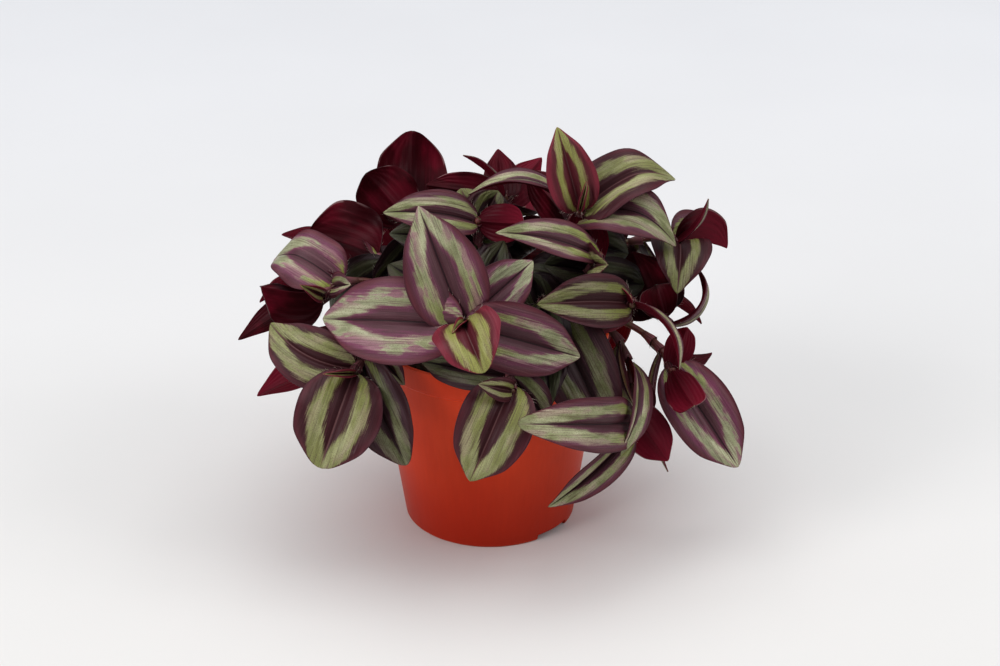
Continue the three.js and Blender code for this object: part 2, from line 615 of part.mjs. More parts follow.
function backShoot([name, heading, rootRadius, bend, end, axisLift, length]) {
  const away = new THREE.Vector3(Math.cos(degrees(heading)), Math.sin(degrees(heading)), 0);
  const out = ([radius, height]) => away.clone().multiplyScalar(radius).setZ(height);
  const root = [rootRadius * away.x, rootRadius * away.y];
  const curve = stemCurve(root, BACK_STEM_RISE * (bend[1] - SOIL_TOP), out(bend), out(end));
  const axis = away.clone().multiplyScalar(Math.cos(degrees(axisLift))).setZ(Math.sin(degrees(axisLift)));
  const level = new THREE.Vector3(0, 0, 1).cross(away).normalize();
  const upright = axis.clone().cross(level);
  const first = 360 * random();
  const leaves = BACK_LEAF_RISE.map((lift, i) => {
    const bud = i === 0;
    const around = degrees(first + i * BACK_LEAF_TURN);
    const rise = degrees(lift);
    const size = length * (bud ? BACK_BUD.size : between(BACK_LEAF_SIZES));
    const direction = level.clone().multiplyScalar(Math.cos(around) * Math.cos(rise))
      .addScaledVector(upright, Math.sin(around) * Math.cos(rise))
      .addScaledVector(axis, Math.sin(rise));
    const base = alongStem(curve, 1 - BACK_LEAF_STEP * i);
    return {
      base,
      tip: base.clone().addScaledVector(direction, size),
      facing: axis,
      width: size * (bud ? BACK_BUD.shape : BACK_LEAF_SHAPE),
      arch: between(BACK_LEAF_ARCHES),
      turn: between(BACK_LEAF_TURNS),
      fold: bud ? BACK_BUD.fold : between(BACK_LEAF_FOLDS),
      sway: between(BACK_LEAF_SWAYS),
      twist: between(BACK_LEAF_TWISTS),
      hook: 0,
      blunt: 0,
    };
  });
  return { name, curve, leaves };
}

const pot = makePot();
const shoots = [...FRONT_SHOOTS.map(frontShoot), ...BACK_SHOOTS.map(backShoot)];
const soil = makeSoil(shoots.map((shoot) => stemHole(shoot.curve)));

const firm = [obstacle(keepOutOfPot(), null)];
for (const shoot of shoots) firm.push(obstacle(stemSolid(shoot.curve, STEM_CLEARANCE), shoot));
const blades = [];

// The leaves are set one by one. Each takes the smallest bend that clears the pot, the stems and the
// leaves already set, and a leaf with no room is left out.
for (const shoot of shoots) {
  shoot.solids = [stemSolid(shoot.curve, 0)];
  const ownStem = obstacle(stemSolid(shoot.curve, OWN_STEM_CLEARANCE), shoot);
  for (const leaf of shoot.leaves) {
    const others = [...firm, ...blades].filter((item) => item.shoot !== shoot);
    const own = [ownStem, ...blades.filter((item) => item.shoot === shoot).map((item) => item.free)];
    for (const [lift, swing] of BENDS) {
      const tried = bent(leaf, lift, swing);
      const padded = bladeSolid(tried, CLEARANCE, 0);
      const free = bladeSolid(tried, BLADE_THICKNESS, FREE_FROM);
      if (meets(padded, others) || meets(free, own)) continue;
      blades.push({ ...obstacle(padded, shoot), free: obstacle(free, shoot) });
      shoot.solids.push(bladeSolid(tried, BLADE_THICKNESS, 0));
      break;
    }
  }
}

const plant = new THREE.Group();
plant.name = 'potted_tradescantia';
plant.add(toMesh('pot', pot, potMaterial));
plant.add(toMesh('soil', soil, soilMaterial));
for (const shoot of shoots) {
  plant.add(toMesh(shoot.name, joined(shoot.solids), leafMaterial));
}

export default plant;
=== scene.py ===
# A potted inch-plant: striped, fleshy leaves on arching stems that root in an orange-red plastic
# nursery pot. Shapes are worked out in millimetres, +Z up, with the plant's front towards -Y, and
# each piece is turned into metres as it is made.

import math

import bmesh
import bpy
import numpy as np
from mathutils import Matrix, Vector, noise
from mathutils.kdtree import KDTree


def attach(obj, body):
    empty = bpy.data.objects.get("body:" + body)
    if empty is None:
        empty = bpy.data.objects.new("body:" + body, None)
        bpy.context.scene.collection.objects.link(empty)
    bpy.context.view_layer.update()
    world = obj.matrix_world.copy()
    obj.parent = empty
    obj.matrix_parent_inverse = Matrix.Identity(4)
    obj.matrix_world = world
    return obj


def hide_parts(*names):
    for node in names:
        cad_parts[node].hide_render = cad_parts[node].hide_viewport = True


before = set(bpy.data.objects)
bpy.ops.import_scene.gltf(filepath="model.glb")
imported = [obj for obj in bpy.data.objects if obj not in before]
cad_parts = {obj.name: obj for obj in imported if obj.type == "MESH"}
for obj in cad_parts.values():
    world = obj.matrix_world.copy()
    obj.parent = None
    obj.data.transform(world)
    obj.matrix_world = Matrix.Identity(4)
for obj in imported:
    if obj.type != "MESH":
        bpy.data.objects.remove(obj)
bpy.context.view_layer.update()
scene = bpy.context.scene

# The table top and the light. The plant stands on a plain pale board that fills the view, under a
# broad soft lamp overhead, with weaker ones at the front left and at the right and the pale room all
# round. The camera looks down on the pot from the front.

MM = 0.001
FLOOR_HALF = 6000
EYE_PLACE = (5.2, -992, 582)
EYE_HEIGHT_ANGLE = 26
LENS = 79.92
SENSOR = 36
ROOM_LIGHT = 0.33


class Wire:
    """The output of a material's node. Arithmetic on it adds the Math nodes that work it out."""

    def __init__(self, finish, socket):
        self.finish = finish
        self.socket = socket

    def math(self, operation, *values):
        return self.finish.node("Math", {"operation": operation}, dict(enumerate(values)))

    def __add__(self, other):
        return self.math("ADD", self, other)

    def __sub__(self, other):
        return self.math("SUBTRACT", self, other)

    def __rsub__(self, other):
        return self.math("SUBTRACT", other, self)

    def __mul__(self, other):
        return self.math("MULTIPLY", self, other)

    def __abs__(self):
        return self.math("ABSOLUTE", self)

    __radd__ = __add__
    __rmul__ = __mul__

    def ramp(self, low, high):
        """0 below low and 1 above high, with a soft change between. With low above high it falls."""
        ends = {"Value": self, "From Min": low, "From Max": high}
        return self.finish.node("MapRange", {"interpolation_type": "SMOOTHSTEP"}, ends)

    def stretched(self, *factors):
        """A place with each of its three numbers multiplied, which squeezes a pattern that way."""
        return self.finish.node("VectorMath", {"operation": "MULTIPLY"}, {0: self, 1: factors})

    def cloud(self, scale=1, detail=2):
        """Soft random spots at this place, from about 0.2 to 0.8, round 0.5."""
        return self.finish.node("TexNoise", {}, {"Vector": self, "Scale": scale, "Detail": detail})

    def parts(self):
        """The three numbers of a place."""
        return [self.finish.node("SeparateXYZ", {}, {0: self}, axis) for axis in range(3)]


class Finish:
    """A material that is made from nodes."""

    def __init__(self, name):
        self.material = bpy.data.materials.new(name)
        self.material.use_nodes = True
        self.tree = self.material.node_tree
        self.shader = self.tree.nodes["Principled BSDF"]

    def node(self, kind, settings, inputs, output=0):
        """Any node: its type, its settings, the values or wires of its inputs, and its output."""
        made = self.tree.nodes.new("ShaderNode" + kind)
        for name, value in settings.items():
            setattr(made, name, value)
        self.feed(made, inputs)
        return Wire(self, made.outputs[output])

    def feed(self, made, inputs):
        for name, value in inputs.items():
            if isinstance(value, Wire):
                self.tree.links.new(value.socket, made.inputs[name])
            else:
                made.inputs[name].default_value = value

    def blend(self, first, second, share):
        """A colour that is the first where share is 0 and the second where it is 1."""
        return self.node("Mix", {"data_type": "RGBA"}, {0: share, 6: first, 7: second}, 2)

    def shaded(self, tone, share):
        """A colour made darker or lighter by a wire."""
        return self.node("VectorMath", {"operation": "SCALE"}, {0: tone, "Scale": share})

    def millimetres(self):
        """Where a spot of the surface is, in millimetres."""
        place = self.node("TexCoord", {}, {}, "Object")
        return place.stretched(1000, 1000, 1000)

    def mark(self, name, output="Vector"):
        """What the mesh holds at each corner under this name."""
        return self.node("Attribute", {"attribute_name": name}, {}, output)

    def relief(self, height, depth):
        """The surface direction of a relief that is depth millimetres deep."""
        inputs = {"Height": height, "Distance": depth * MM, "Strength": 1}
        return self.node("Bump", {}, inputs)

    def done(self, **values):
        """Feeds the main shader, whose inputs are named as in Blender with _ for a space."""
        self.feed(self.shader, {name.replace("_", " "): value for name, value in values.items()})
        return self.material


def colour(red, green, blue):
    """A colour for the nodes from how it looks, in levels from 0 to 255."""
    shares = np.array([red, green, blue]) / 255
    light = np.where(shares > 0.04, ((shares + 0.055) / 1.055) ** 2.4, shares / 12.92)
    return (*light.tolist(), 1.0)


board = Finish("pale board")
place = board.millimetres()
spots = place.cloud(0.004, 3)
_, depth, _ = place.parts()
paint = board.blend(colour(228, 226, 223), colour(233, 233, 235), depth.ramp(-400, 900))
board.done(
    Base_Color=board.shaded(paint, 0.96 + 0.06 * spots),
    Roughness=0.6 + 0.2 * spots,
    Specular_IOR_Level=0.2,
)
floor_corners = [(x * FLOOR_HALF * MM, y * FLOOR_HALF * MM, 0)
                 for x, y in ((-1, -1), (1, -1), (1, 1), (-1, 1))]
floor_mesh = bpy.data.meshes.new("floor")
floor_mesh.from_pydata(floor_corners, [], [(0, 1, 2, 3)])
floor_mesh.materials.append(board.material)
floor = bpy.data.objects.new("floor", floor_mesh)
scene.collection.objects.link(floor)

scene.world = bpy.data.worlds.new("room")
scene.world.use_nodes = True
sky = scene.world.node_tree.nodes["Background"]
sky.inputs["Color"].default_value = colour(236, 240, 246)
sky.inputs["Strength"].default_value = ROOM_LIGHT
scene.view_settings.view_transform = "Standard"
scene.view_settings.look = "Medium High Contrast"


def soft_lamp(name, place, aim, size, power):
    """A lamp with a broad face that looks at aim. Its place and size are in metres."""
    data = bpy.data.lights.new(name, "AREA")
    data.shape = "RECTANGLE"
    data.size, data.size_y = size
    data.energy = power
    lamp = bpy.data.objects.new(name, data)
    lamp.location = place
    lamp.rotation_euler = (Vector(aim) - Vector(place)).to_track_quat("-Z", "Y").to_euler()
    scene.collection.objects.link(lamp)


soft_lamp("lamp_overhead", (0, 0.3, 4.5), (0, 0, 0), (5.0, 5.0), 122)
soft_lamp("lamp_front_left", (-1.7, -1.2, 1.3), (0, 0, 0.1), (1.0, 1.0), 18)
soft_lamp("lamp_right", (1.8, -0.6, 1.4), (0, 0, 0.1), (1.2, 1.2), 12)

camera_data = bpy.data.cameras.new("camera")
camera_data.sensor_width = SENSOR
camera_data.lens = LENS
camera = bpy.data.objects.new("camera", camera_data)
camera.location = Vector(EYE_PLACE) * MM
camera.rotation_euler = (math.radians(90 - EYE_HEIGHT_ANGLE), 0, 0)
scene.collection.objects.link(camera)
scene.camera = camera

# The pot: one thin shell of orange-red polypropylene, moulded in one shot. It has a plain tapered
# wall, a slightly wider collar with a plain round-edged lip, and a raised floor with drain holes on
# a foot ring with two notches.

POT_SIDES = 144
POT_WALL = 1.3
POT_HEIGHT = 102
COLLAR_HEIGHT = 13
BEVEL = 0.5
FOOT_RADIUS = 43
FOOT_WIDTH = 2
FLOOR_HEIGHT = 4
FLOOR_THICKNESS = 1.4
WALL_TOP_RADIUS = 56.2
COLLAR_RADIUS = 57.6
RIM_RADIUS = 59.6
LIP_EXTRA = 0.4
NOTCH_ANGLES = (-42, 138)
NOTCH_SIZE = (6, 21, 4)
NOTCH_TOP = 3
DRAIN_HOLES = 6
DRAIN_RADIUS = 3.5
DRAIN_CIRCLE = 27
DRAIN_SIDES = 28
SHARP_ANGLE = 40


def rounded(corners, steps=5):
    """A line through [radius, height, rounding] corners, each cut back to a small curve."""
    line = []
    places = [np.array(corner[:2], float) for corner in corners]
    for i, (place, (_, _, rounding)) in enumerate(zip(places, corners)):
        if rounding == 0:
            line.append(place)
            continue
        before, after = places[i - 1] - place, places[i + 1] - place
        start = place + before * rounding / np.linalg.norm(before)
        end = place + after * rounding / np.linalg.norm(after)
        for t in np.linspace(0, 1, steps):
            line.append((1 - t) ** 2 * start + 2 * t * (1 - t) * place + t * t * end)
    return np.array(line)


def turned(line, sides):
    """A closed body of revolution about Z. The line runs from the axis round and back to it."""
    angles = np.linspace(0, 2 * np.pi, sides, endpoint=False)
    shape = bmesh.new()
    rings = []
    for radius, height in line:
        if radius == 0:
            rings.append([shape.verts.new((0, 0, height))] * sides)
        else:
            rings.append([shape.verts.new((radius * math.cos(a), radius * math.sin(a), height))
                          for a in angles])
    for ring, above in zip(rings, rings[1:]):
        for j in range(sides):
            k = (j + 1) % sides
            corners = dict.fromkeys((ring[j], ring[k], above[k], above[j]))
            shape.faces.new(corners)
    return shape


def add_object(name, mesh, *materials):
    """An object of this mesh, which it turns into metres."""
    mesh.transform(Matrix.Scale(MM, 4))
    for material in materials:
        mesh.materials.append(material)
    mesh.shade_smooth()
    made = bpy.data.objects.new(name, mesh)
    scene.collection.objects.link(made)
    return made


def add_shape(name, shape, *materials):
    mesh = bpy.data.meshes.new(name)
    shape.to_mesh(mesh)
    shape.free()
    return add_object(name, mesh, *materials)


def cut_away(piece, cutters):
    """Takes the cutters' volumes out of the piece and removes the cutters."""
    for cutter in cutters:
        change = piece.modifiers.new("cut", "BOOLEAN")
        change.solver = "MANIFOLD"
        change.operation = "DIFFERENCE"
        change.object = cutter
    graph = bpy.context.evaluated_depsgraph_get()
    mesh = bpy.data.meshes.new_from_object(piece.evaluated_get(graph))
    piece.modifiers.clear()
    piece.data = mesh
    for cutter in cutters:
        bpy.data.objects.remove(cutter)


plastic = Finish("orange-red plastic")
place = plastic.millimetres()
_, _, height = place.parts()
grain = place.cloud(1.6, 2)
drawn = place.stretched(0.5, 0.5, 0.02).cloud(1, 2)
smudge = place.stretched(0.03, 0.03, 0.02).cloud(1, 4)
rubbed = height.ramp(POT_HEIGHT - 1.5, POT_HEIGHT) + height.ramp(2, 0)
pot_tone = plastic.blend(colour(206, 66, 32), colour(216, 76, 40), smudge.ramp(0.35, 0.7))
# Painted shade: the orange-red is darkened towards the foot, where less light falls on the wall
pot_tone = plastic.blend(pot_tone, colour(170, 42, 18), 0.85 * height.ramp(75, 5))
pot_tone = plastic.blend(pot_tone, colour(220, 112, 80), 0.5 * rubbed * grain)
plastic.done(
    Base_Color=plastic.shaded(pot_tone, 0.94 + 0.12 * drawn),
    Roughness=0.34 + 0.16 * smudge + 0.1 * rubbed,
    Normal=plastic.relief(grain + 0.6 * drawn, 0.04),
    Specular_IOR_Level=0.2,
)

collar_bottom = POT_HEIGHT - COLLAR_HEIGHT
floor_top = FLOOR_HEIGHT + FLOOR_THICKNESS
foot_inside = FOOT_RADIUS - FOOT_WIDTH - BEVEL
floor_edge = FOOT_RADIUS + (WALL_TOP_RADIUS - FOOT_RADIUS) * floor_top / collar_bottom - POT_WALL
pot_line = rounded([
    (0, FLOOR_HEIGHT, 0),
    (foot_inside, FLOOR_HEIGHT, 0.8),
    (foot_inside, 0, 0.2),
    (FOOT_RADIUS, 0, 1.0),
    (WALL_TOP_RADIUS, collar_bottom - BEVEL, 0.4),
    (COLLAR_RADIUS, collar_bottom + BEVEL, 0.4),
    (RIM_RADIUS, POT_HEIGHT, 0.9),
    (RIM_RADIUS - POT_WALL - LIP_EXTRA, POT_HEIGHT, 0.6),
    (COLLAR_RADIUS - POT_WALL, collar_bottom + POT_WALL, 0.5),
    (WALL_TOP_RADIUS - POT_WALL, collar_bottom - BEVEL, 0.4),
    (floor_edge, floor_top, 1.4),
    (0, floor_top, 0),
])
pot = add_shape("pot_shell", turned(pot_line, POT_SIDES), plastic.material)

cutters = []
for angle in NOTCH_ANGLES:
    shape = bmesh.new()
    bmesh.ops.create_cube(shape, size=1)
    bmesh.ops.scale(shape, vec=NOTCH_SIZE, verts=shape.verts)
    middle = (FOOT_RADIUS - FOOT_WIDTH, 0, NOTCH_TOP - NOTCH_SIZE[2] / 2)
    bmesh.ops.translate(shape, vec=middle, verts=shape.verts)
    turn = Matrix.Rotation(math.radians(angle), 3, "Z")
    bmesh.ops.rotate(shape, matrix=turn, verts=shape.verts)
    cutters.append(add_shape("notch", shape))
# The drain holes stand in a circle, with one more in the middle
for i in range(DRAIN_HOLES + 1):
    angle = 2 * math.pi * i / DRAIN_HOLES
    out = DRAIN_CIRCLE if i < DRAIN_HOLES else 0
    shape = bmesh.new()
    bmesh.ops.create_cone(shape, cap_ends=True, segments=DRAIN_SIDES, radius1=DRAIN_RADIUS,
                          radius2=DRAIN_RADIUS, depth=4 * FLOOR_THICKNESS)
    centre = (out * math.cos(angle), out * math.sin(angle), FLOOR_HEIGHT)
    bmesh.ops.translate(shape, vec=centre, verts=shape.verts)
    cutters.append(add_shape("drain", shape))
cut_away(pot, cutters)
pot.data.set_sharp_from_angle(angle=math.radians(SHARP_ANGLE))
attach(pot, "root")
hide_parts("pot")

# The soil: dark peat potting mix with crumbs of bark and a few white perlite grains. It was poured
# in round the roots and fills the pot to just under the lip.

SOIL_TOP = 93
SOIL_CROWN = 1.5
SOIL_HIGHEST = 95
SOIL_SIDES = 120
SOIL_RINGS = 46
SOIL_EDGE = 55.8
SOIL_EDGE_DEPTH = 3
SOIL_STEP_DROP = 1.6
SOIL_WALL_GAP = 0.5
SOIL_ROUGHNESS = 1.1
LUMP_SCALE = 0.11
LUMP_SLICE = 3
CRUMBS = 520
CRUMB_MARGIN = 3
CRUMB_SIZES = (0.7, 2.4)
CRUMB_STRETCHES = ((0.6, 0.5, 0.4), (1.3, 1, 0.8))
CRUMB_ROUGHNESS = 0.35
CRUMB_GRAIN = 1.1
CRUMB_SHIFTS = (0, 50)
PERLITE_SHARE = 0.06
PERLITE_SIZE = 0.7
SEAT_GAP = 0.3
CHANCE_SEED = 41

chance = np.random.default_rng(CHANCE_SEED)


def soil_height(x, y):
    """How high the lumpy top is here."""
    crown = SOIL_TOP + SOIL_CROWN * (1 - math.hypot(x, y) / RIM_RADIUS)
    lumps = noise.fractal(Vector((x * LUMP_SCALE, y * LUMP_SCALE, LUMP_SLICE)), 1, 2, 4)
    return crown + SOIL_ROUGHNESS * lumps


def soil_body():
    """Rings of corners from the middle of its lumpy top out to the pot's wall and down it."""
    shape = bmesh.new()
    angles = np.linspace(0, 2 * np.pi, SOIL_SIDES, endpoint=False)
    rings = []
    for radius in np.linspace(SOIL_EDGE / SOIL_RINGS, SOIL_EDGE, SOIL_RINGS):
        flat = [(radius * math.cos(a), radius * math.sin(a)) for a in angles]
        rings.append([shape.verts.new((x, y, min(soil_height(x, y), SOIL_HIGHEST)))
                      for x, y in flat])
    soil_bottom = floor_top + SEAT_GAP
    side = [(SOIL_EDGE, SOIL_TOP - SOIL_EDGE_DEPTH),
            (WALL_TOP_RADIUS - POT_WALL - SOIL_WALL_GAP, collar_bottom - SOIL_STEP_DROP),
            (floor_edge - SOIL_WALL_GAP, soil_bottom)]
    for radius, height in side:
        rings.append([shape.verts.new((radius * math.cos(a), radius * math.sin(a), height))
                      for a in angles])
    for ring, outer in zip(rings, rings[1:]):
        for j in range(SOIL_SIDES):
            k = (j + 1) % SOIL_SIDES
            shape.faces.new((ring[j], outer[j], outer[k], ring[k]))
    middle = shape.verts.new((0, 0, soil_height(0, 0)))
    bottom = shape.verts.new((0, 0, soil_bottom))
    for j in range(SOIL_SIDES):
        k = (j + 1) % SOIL_SIDES
        shape.faces.new((middle, rings[0][j], rings[0][k]))
        shape.faces.new((bottom, rings[-1][k], rings[-1][j]))
    return shape


def add_crumbs(shape, kinds):
    """Rough lumps, each a small ball that is stretched, roughened and turned. kinds tells bark from
    perlite."""
    ball = bmesh.new()
    bmesh.ops.create_icosphere(ball, subdivisions=2, radius=1)
    ball.verts.index_update()
    for _ in range(CRUMBS):
        radius = (SOIL_EDGE - CRUMB_MARGIN) * math.sqrt(chance.random())
        angle = 2 * math.pi * chance.random()
        x, y = radius * math.cos(angle), radius * math.sin(angle)
        perlite = chance.random() < PERLITE_SHARE
        size = chance.uniform(*CRUMB_SIZES) * (PERLITE_SIZE if perlite else 1)
        stretch = Matrix.Diagonal(chance.uniform(*CRUMB_STRETCHES) * size)
        shape_change = Matrix.Rotation(2 * math.pi * chance.random(), 3, "Z") @ stretch
        shift = Vector(chance.uniform(*CRUMB_SHIFTS, 3))
        kind = 1.0 if perlite else 0.5 * chance.random()
        middle = Vector((x, y, soil_height(x, y)))
        lump = []
        for corner in ball.verts:
            rough = 1 + CRUMB_ROUGHNESS * noise.noise(corner.co * size * CRUMB_GRAIN + shift)
            lump.append(shape.verts.new(middle + shape_change @ corner.co * rough))
            lump[-1][kinds] = kind
        for face in ball.faces:
            shape.faces.new([lump[corner.index] for corner in face.verts])


peat = Finish("peat potting mix")
place = peat.millimetres()
fine = place.cloud(1.4, 4)
coarse = place.cloud(0.35, 3)
kind = peat.mark("crumb", "Fac")
tone = peat.blend(colour(34, 25, 20), colour(72, 52, 38), fine.ramp(0.35, 0.7))
tone = peat.blend(tone, colour(104, 74, 50), kind.ramp(0.25, 0.5) * coarse)
tone = peat.blend(tone, colour(206, 202, 192), kind.ramp(0.8, 0.9))
peat.done(
    Base_Color=tone,
    Roughness=0.8 + 0.2 * coarse,
    Normal=peat.relief(fine + coarse, 0.5),
)

shape = soil_body()
add_crumbs(shape, shape.verts.layers.float.new("crumb"))
soil = add_shape("potting_soil", shape, peat.material)
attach(soil, "root")
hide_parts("soil")

# The stems: fleshy, brown-red and about 4 mm thick, with a swollen joint and a short papery sheath
# where each leaf stands. Each grew from a cutting set in the soil, climbs over the lip and arches
# down outside the pot.

STEM_RADIUS = 1.9
STEM_TIP_RADIUS = 1.4
STEM_SIDES = 12
STEM_RINGS = 60
STEM_STRAIGHT = 4
STEM_TIP = 1.2
STEM_STEPS = 5
SOIL_HOLE_DEPTH = 15
JOINT_SWELL = 0.55
JOINT_LENGTH = 2.2
JOINT_DROP = 2
SHEATH_LENGTH = 7
SHEATH_SIDES = 14
# How far each ring of a sheath is from its lower end, as a share, and how far out from the stem.
# SHEATH_RIM is the ring that the hairs stand on.
SHEATH_SHAPE = ((0, -0.5), (0.02, 0.18), (0.35, 0.3), (0.7, 0.45), (0.95, 0.85), (1, 0.95),
                (1, 0.8), (0.9, 0.55), (0.7, 0.2), (0.6, -0.5))
SHEATH_RIM = 5
SHEATH_HAIRS = 9
SHEATH_HAIR_LEANS = (0.3, 1.1)
HAIR_RADII = (0.06, 0.012)
HAIR_SIDES = 4
HAIR_ROOT = 0.3
HAIR_LENGTHS = (1.2, 2.4)
# How far it is round a stem and a sheath as their finishes read it, and how far apart two shoots
# or two leaves lie in a pattern
STEM_GIRTH, SHEATH_GIRTH = 12, 14
PATTERN_SPREAD, SHEATH_SPREAD = 97, 61

# The finishes on a shoot, in the order of its material slots
UPPER, UNDER, STEM, SHEATH, HAIR = range(5)


def unit(vector):
    return vector / np.linalg.norm(vector, axis=-1, keepdims=True)


def curve_places(knots, shares):
    """Places on the one smooth curve that four knots draw, at shares of the way along it."""
    t = np.asarray(shares, float)[:, None]
    a, b, c, d = knots
    return a * (1 - t) ** 3 + 3 * b * t * (1 - t) ** 2 + 3 * c * t * t * (1 - t) + d * t ** 3


def stem_knots(root, lift, bend, end):
    """The four knots of a stem that leaves the soil straight up, for lift millimetres."""
    start = np.array([*root, SOIL_TOP + STEM_STRAIGHT], float)
    return [start, start + np.array([0, 0, lift]), np.array(bend), np.array(end)]


def on_stem(knots, share):
    """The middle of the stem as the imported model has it, which runs straight between its rings."""
    rings = curve_places(knots, np.linspace(0, 1, STEM_STEPS + 1))
    step = min(int(share * STEM_STEPS), STEM_STEPS - 1)
    return rings[step] + (rings[step + 1] - rings[step]) * (share * STEM_STEPS - step)


def ring_frames(line):
    """The way a line runs at each of its places, and two directions square to it there, which turn
    as little as they can."""
    along = unit(np.gradient(line, axis=0))
    side = np.array([1.0, 0, 0])
    sides = []
    for run in along:
        side = unit(side - run * (side @ run))
        sides.append(side)
    sides = np.array(sides)
    return along, sides, np.cross(along, sides)


def tube(line, radii, count):
    """Rings of corners round a line."""
    _, side, other = ring_frames(line)
    angles = np.linspace(0, 2 * np.pi, count, endpoint=False)
    out = side[:, None] * np.cos(angles)[:, None] + other[:, None] * np.sin(angles)[:, None]
    return line[:, None] + out * np.asarray(radii)[:, None, None]


class Shoot:
    """The skins of one shoot. Each is a closed surface over rings of corners."""

    def __init__(self):
        self.corners, self.faces, self.slots = [], [], []
        self.marks = {"blade": [], "flat": [], "looks": []}
        self.count = 0

    def add_skin(self, rings, slots, blade, flat, looks):
        """Joins each ring to the next and closes both ends. slots has the finish of each face
        round a ring, blade and flat hold what the finishes read at each corner, and looks what is
        the same all over this skin."""
        rows, around = rings.shape[:2]
        index = np.arange(rows * around).reshape(rows, around) + self.count
        onward = np.roll(index, -1, axis=1)
        walls = np.stack([index[:-1], onward[:-1], onward[1:], index[1:]], axis=-1).reshape(-1, 4)
        half = around // 2 - 1
        first, last = index[0], index[-1]
        start = [(first[k], first[-1 - k], first[-2 - k], first[k + 1]) for k in range(half)]
        end = [(last[k], last[k + 1], last[-2 - k], last[-1 - k]) for k in range(half)]
        self.faces += [walls, np.array(start), np.array(end)]
        slots = np.broadcast_to(slots, around)
        self.slots += [np.tile(slots, rows - 1), np.full(2 * half, slots[0])]
        self.corners.append(rings.reshape(-1, 3))
        for name, mark in (("blade", blade), ("flat", flat), ("looks", looks)):
            self.marks[name].append(np.broadcast_to(mark, rings.shape).reshape(-1, 3))
        self.count += rows * around

    def add_hair(self, foot, direction, length):
        line = np.array([foot - HAIR_ROOT * direction, foot + length * direction])
        rings = tube(line, HAIR_RADII, HAIR_SIDES)
        self.add_skin(rings, HAIR, 0.0, rings, 0.0)

    def make(self, name, materials):
        mesh = bpy.data.meshes.new(name)
        faces = np.concatenate(self.faces)
        mesh.from_pydata(np.concatenate(self.corners), [], faces.tolist())
        mesh.polygons.foreach_set("material_index", np.concatenate(self.slots).astype(np.int32))
        for mark, values in self.marks.items():
            layer = mesh.attributes.new(mark, "FLOAT_VECTOR", "POINT")
            layer.data.foreach_set("vector", np.concatenate(values).astype(np.float32).ravel())
        return add_object(name, mesh, *materials)


def add_stem(shoot, knots, joints, seed):
    """The stem with its joints, and a hairy sheath at each."""
    curve = curve_places(knots, np.linspace(0, 1, STEM_RINGS))
    tip = curve[-1] + STEM_TIP * unit(curve[-1] - curve[-2])
    foot = np.array([curve[0][0], curve[0][1], SOIL_TOP - SOIL_HOLE_DEPTH + SEAT_GAP])
    line = np.concatenate([[foot], curve, [tip]])
    reach = np.concatenate([[0], np.cumsum(np.linalg.norm(np.diff(line, axis=0), axis=1))])
    shares = np.concatenate([[0], np.linspace(0, 1, STEM_RINGS), [1]])
    radii = STEM_RADIUS + (STEM_TIP_RADIUS - STEM_RADIUS) * shares
    joint_reach = np.interp(joints, shares[1:-1], reach[1:-1])
    for middle in joint_reach:
        radii = radii + JOINT_SWELL * np.exp(-((reach - middle + JOINT_DROP) / JOINT_LENGTH) ** 2)
    rings = tube(line, radii, STEM_SIDES)
    around = np.linspace(0, 1, STEM_SIDES, endpoint=False)
    flat = np.stack(np.broadcast_arrays(around[None] * STEM_GIRTH, reach[:, None],
                                        seed * PATTERN_SPREAD), axis=-1)
    shoot.add_skin(rings, STEM, flat, flat, 0.0)
    for middle in joint_reach:
        add_sheath(shoot, line, reach, radii, middle, seed)


def add_sheath(shoot, line, reach, radii, top, seed):
    """A papery cuff round the stem that ends at top, with hairs on its rim."""
    shape = np.array(SHEATH_SHAPE)
    places = top - SHEATH_LENGTH * (1 - shape[:, 0])
    middle = np.stack([np.interp(places, reach, line[:, axis]) for axis in range(3)], axis=-1)
    along, side, other = ring_frames(middle[[0, SHEATH_RIM]])
    angles = np.linspace(0, 2 * np.pi, SHEATH_SIDES, endpoint=False)
    out = side[0] * np.cos(angles)[:, None] + other[0] * np.sin(angles)[:, None]
    width = np.interp(places, reach, radii) + shape[:, 1]
    rings = middle[:, None] + out[None] * width[:, None, None]
    around = np.linspace(0, 1, SHEATH_SIDES, endpoint=False)
    flat = np.stack(np.broadcast_arrays(around[None] * SHEATH_GIRTH, shape[:, :1] * SHEATH_LENGTH,
                                        seed * SHEATH_SPREAD), axis=-1)
    shoot.add_skin(rings, SHEATH, flat, flat, 0.0)
    for _ in range(SHEATH_HAIRS):
        k = chance.integers(SHEATH_SIDES)
        lean = unit(out[k] * chance.uniform(*SHEATH_HAIR_LEANS) + along[0])
        shoot.add_hair(rings[SHEATH_RIM, k], lean, chance.uniform(*HAIR_LENGTHS))


flesh = Finish("fleshy stem")
flat = flesh.mark("flat")
streak = flat.stretched(1.4, 0.12, 1).cloud(1, 2)
patch = flat.stretched(0.2, 0.08, 1).cloud(1, 2)
tone = flesh.blend(colour(98, 44, 44), colour(86, 70, 48), patch.ramp(0.42, 0.62))
tone = flesh.blend(tone, colour(122, 64, 54), streak.ramp(0.5, 0.75))
flesh.done(
    Base_Color=tone,
    Roughness=0.34 + 0.2 * streak,
    Normal=flesh.relief(streak, 0.15),
)

paper = Finish("papery sheath")
flat = paper.mark("flat")
vein = flat.stretched(1.6, 0.05, 1).cloud(1, 1)
_, way_up, _ = flat.parts()
tone = paper.blend(colour(104, 68, 60), colour(128, 74, 82), way_up.ramp(1, 6.5))
tone = paper.blend(tone, colour(92, 44, 50), vein.ramp(0.5, 0.65))
paper.done(
    Base_Color=tone,
    Roughness=0.5 + 0.2 * vein,
    Normal=paper.relief(vein, 0.15),
)

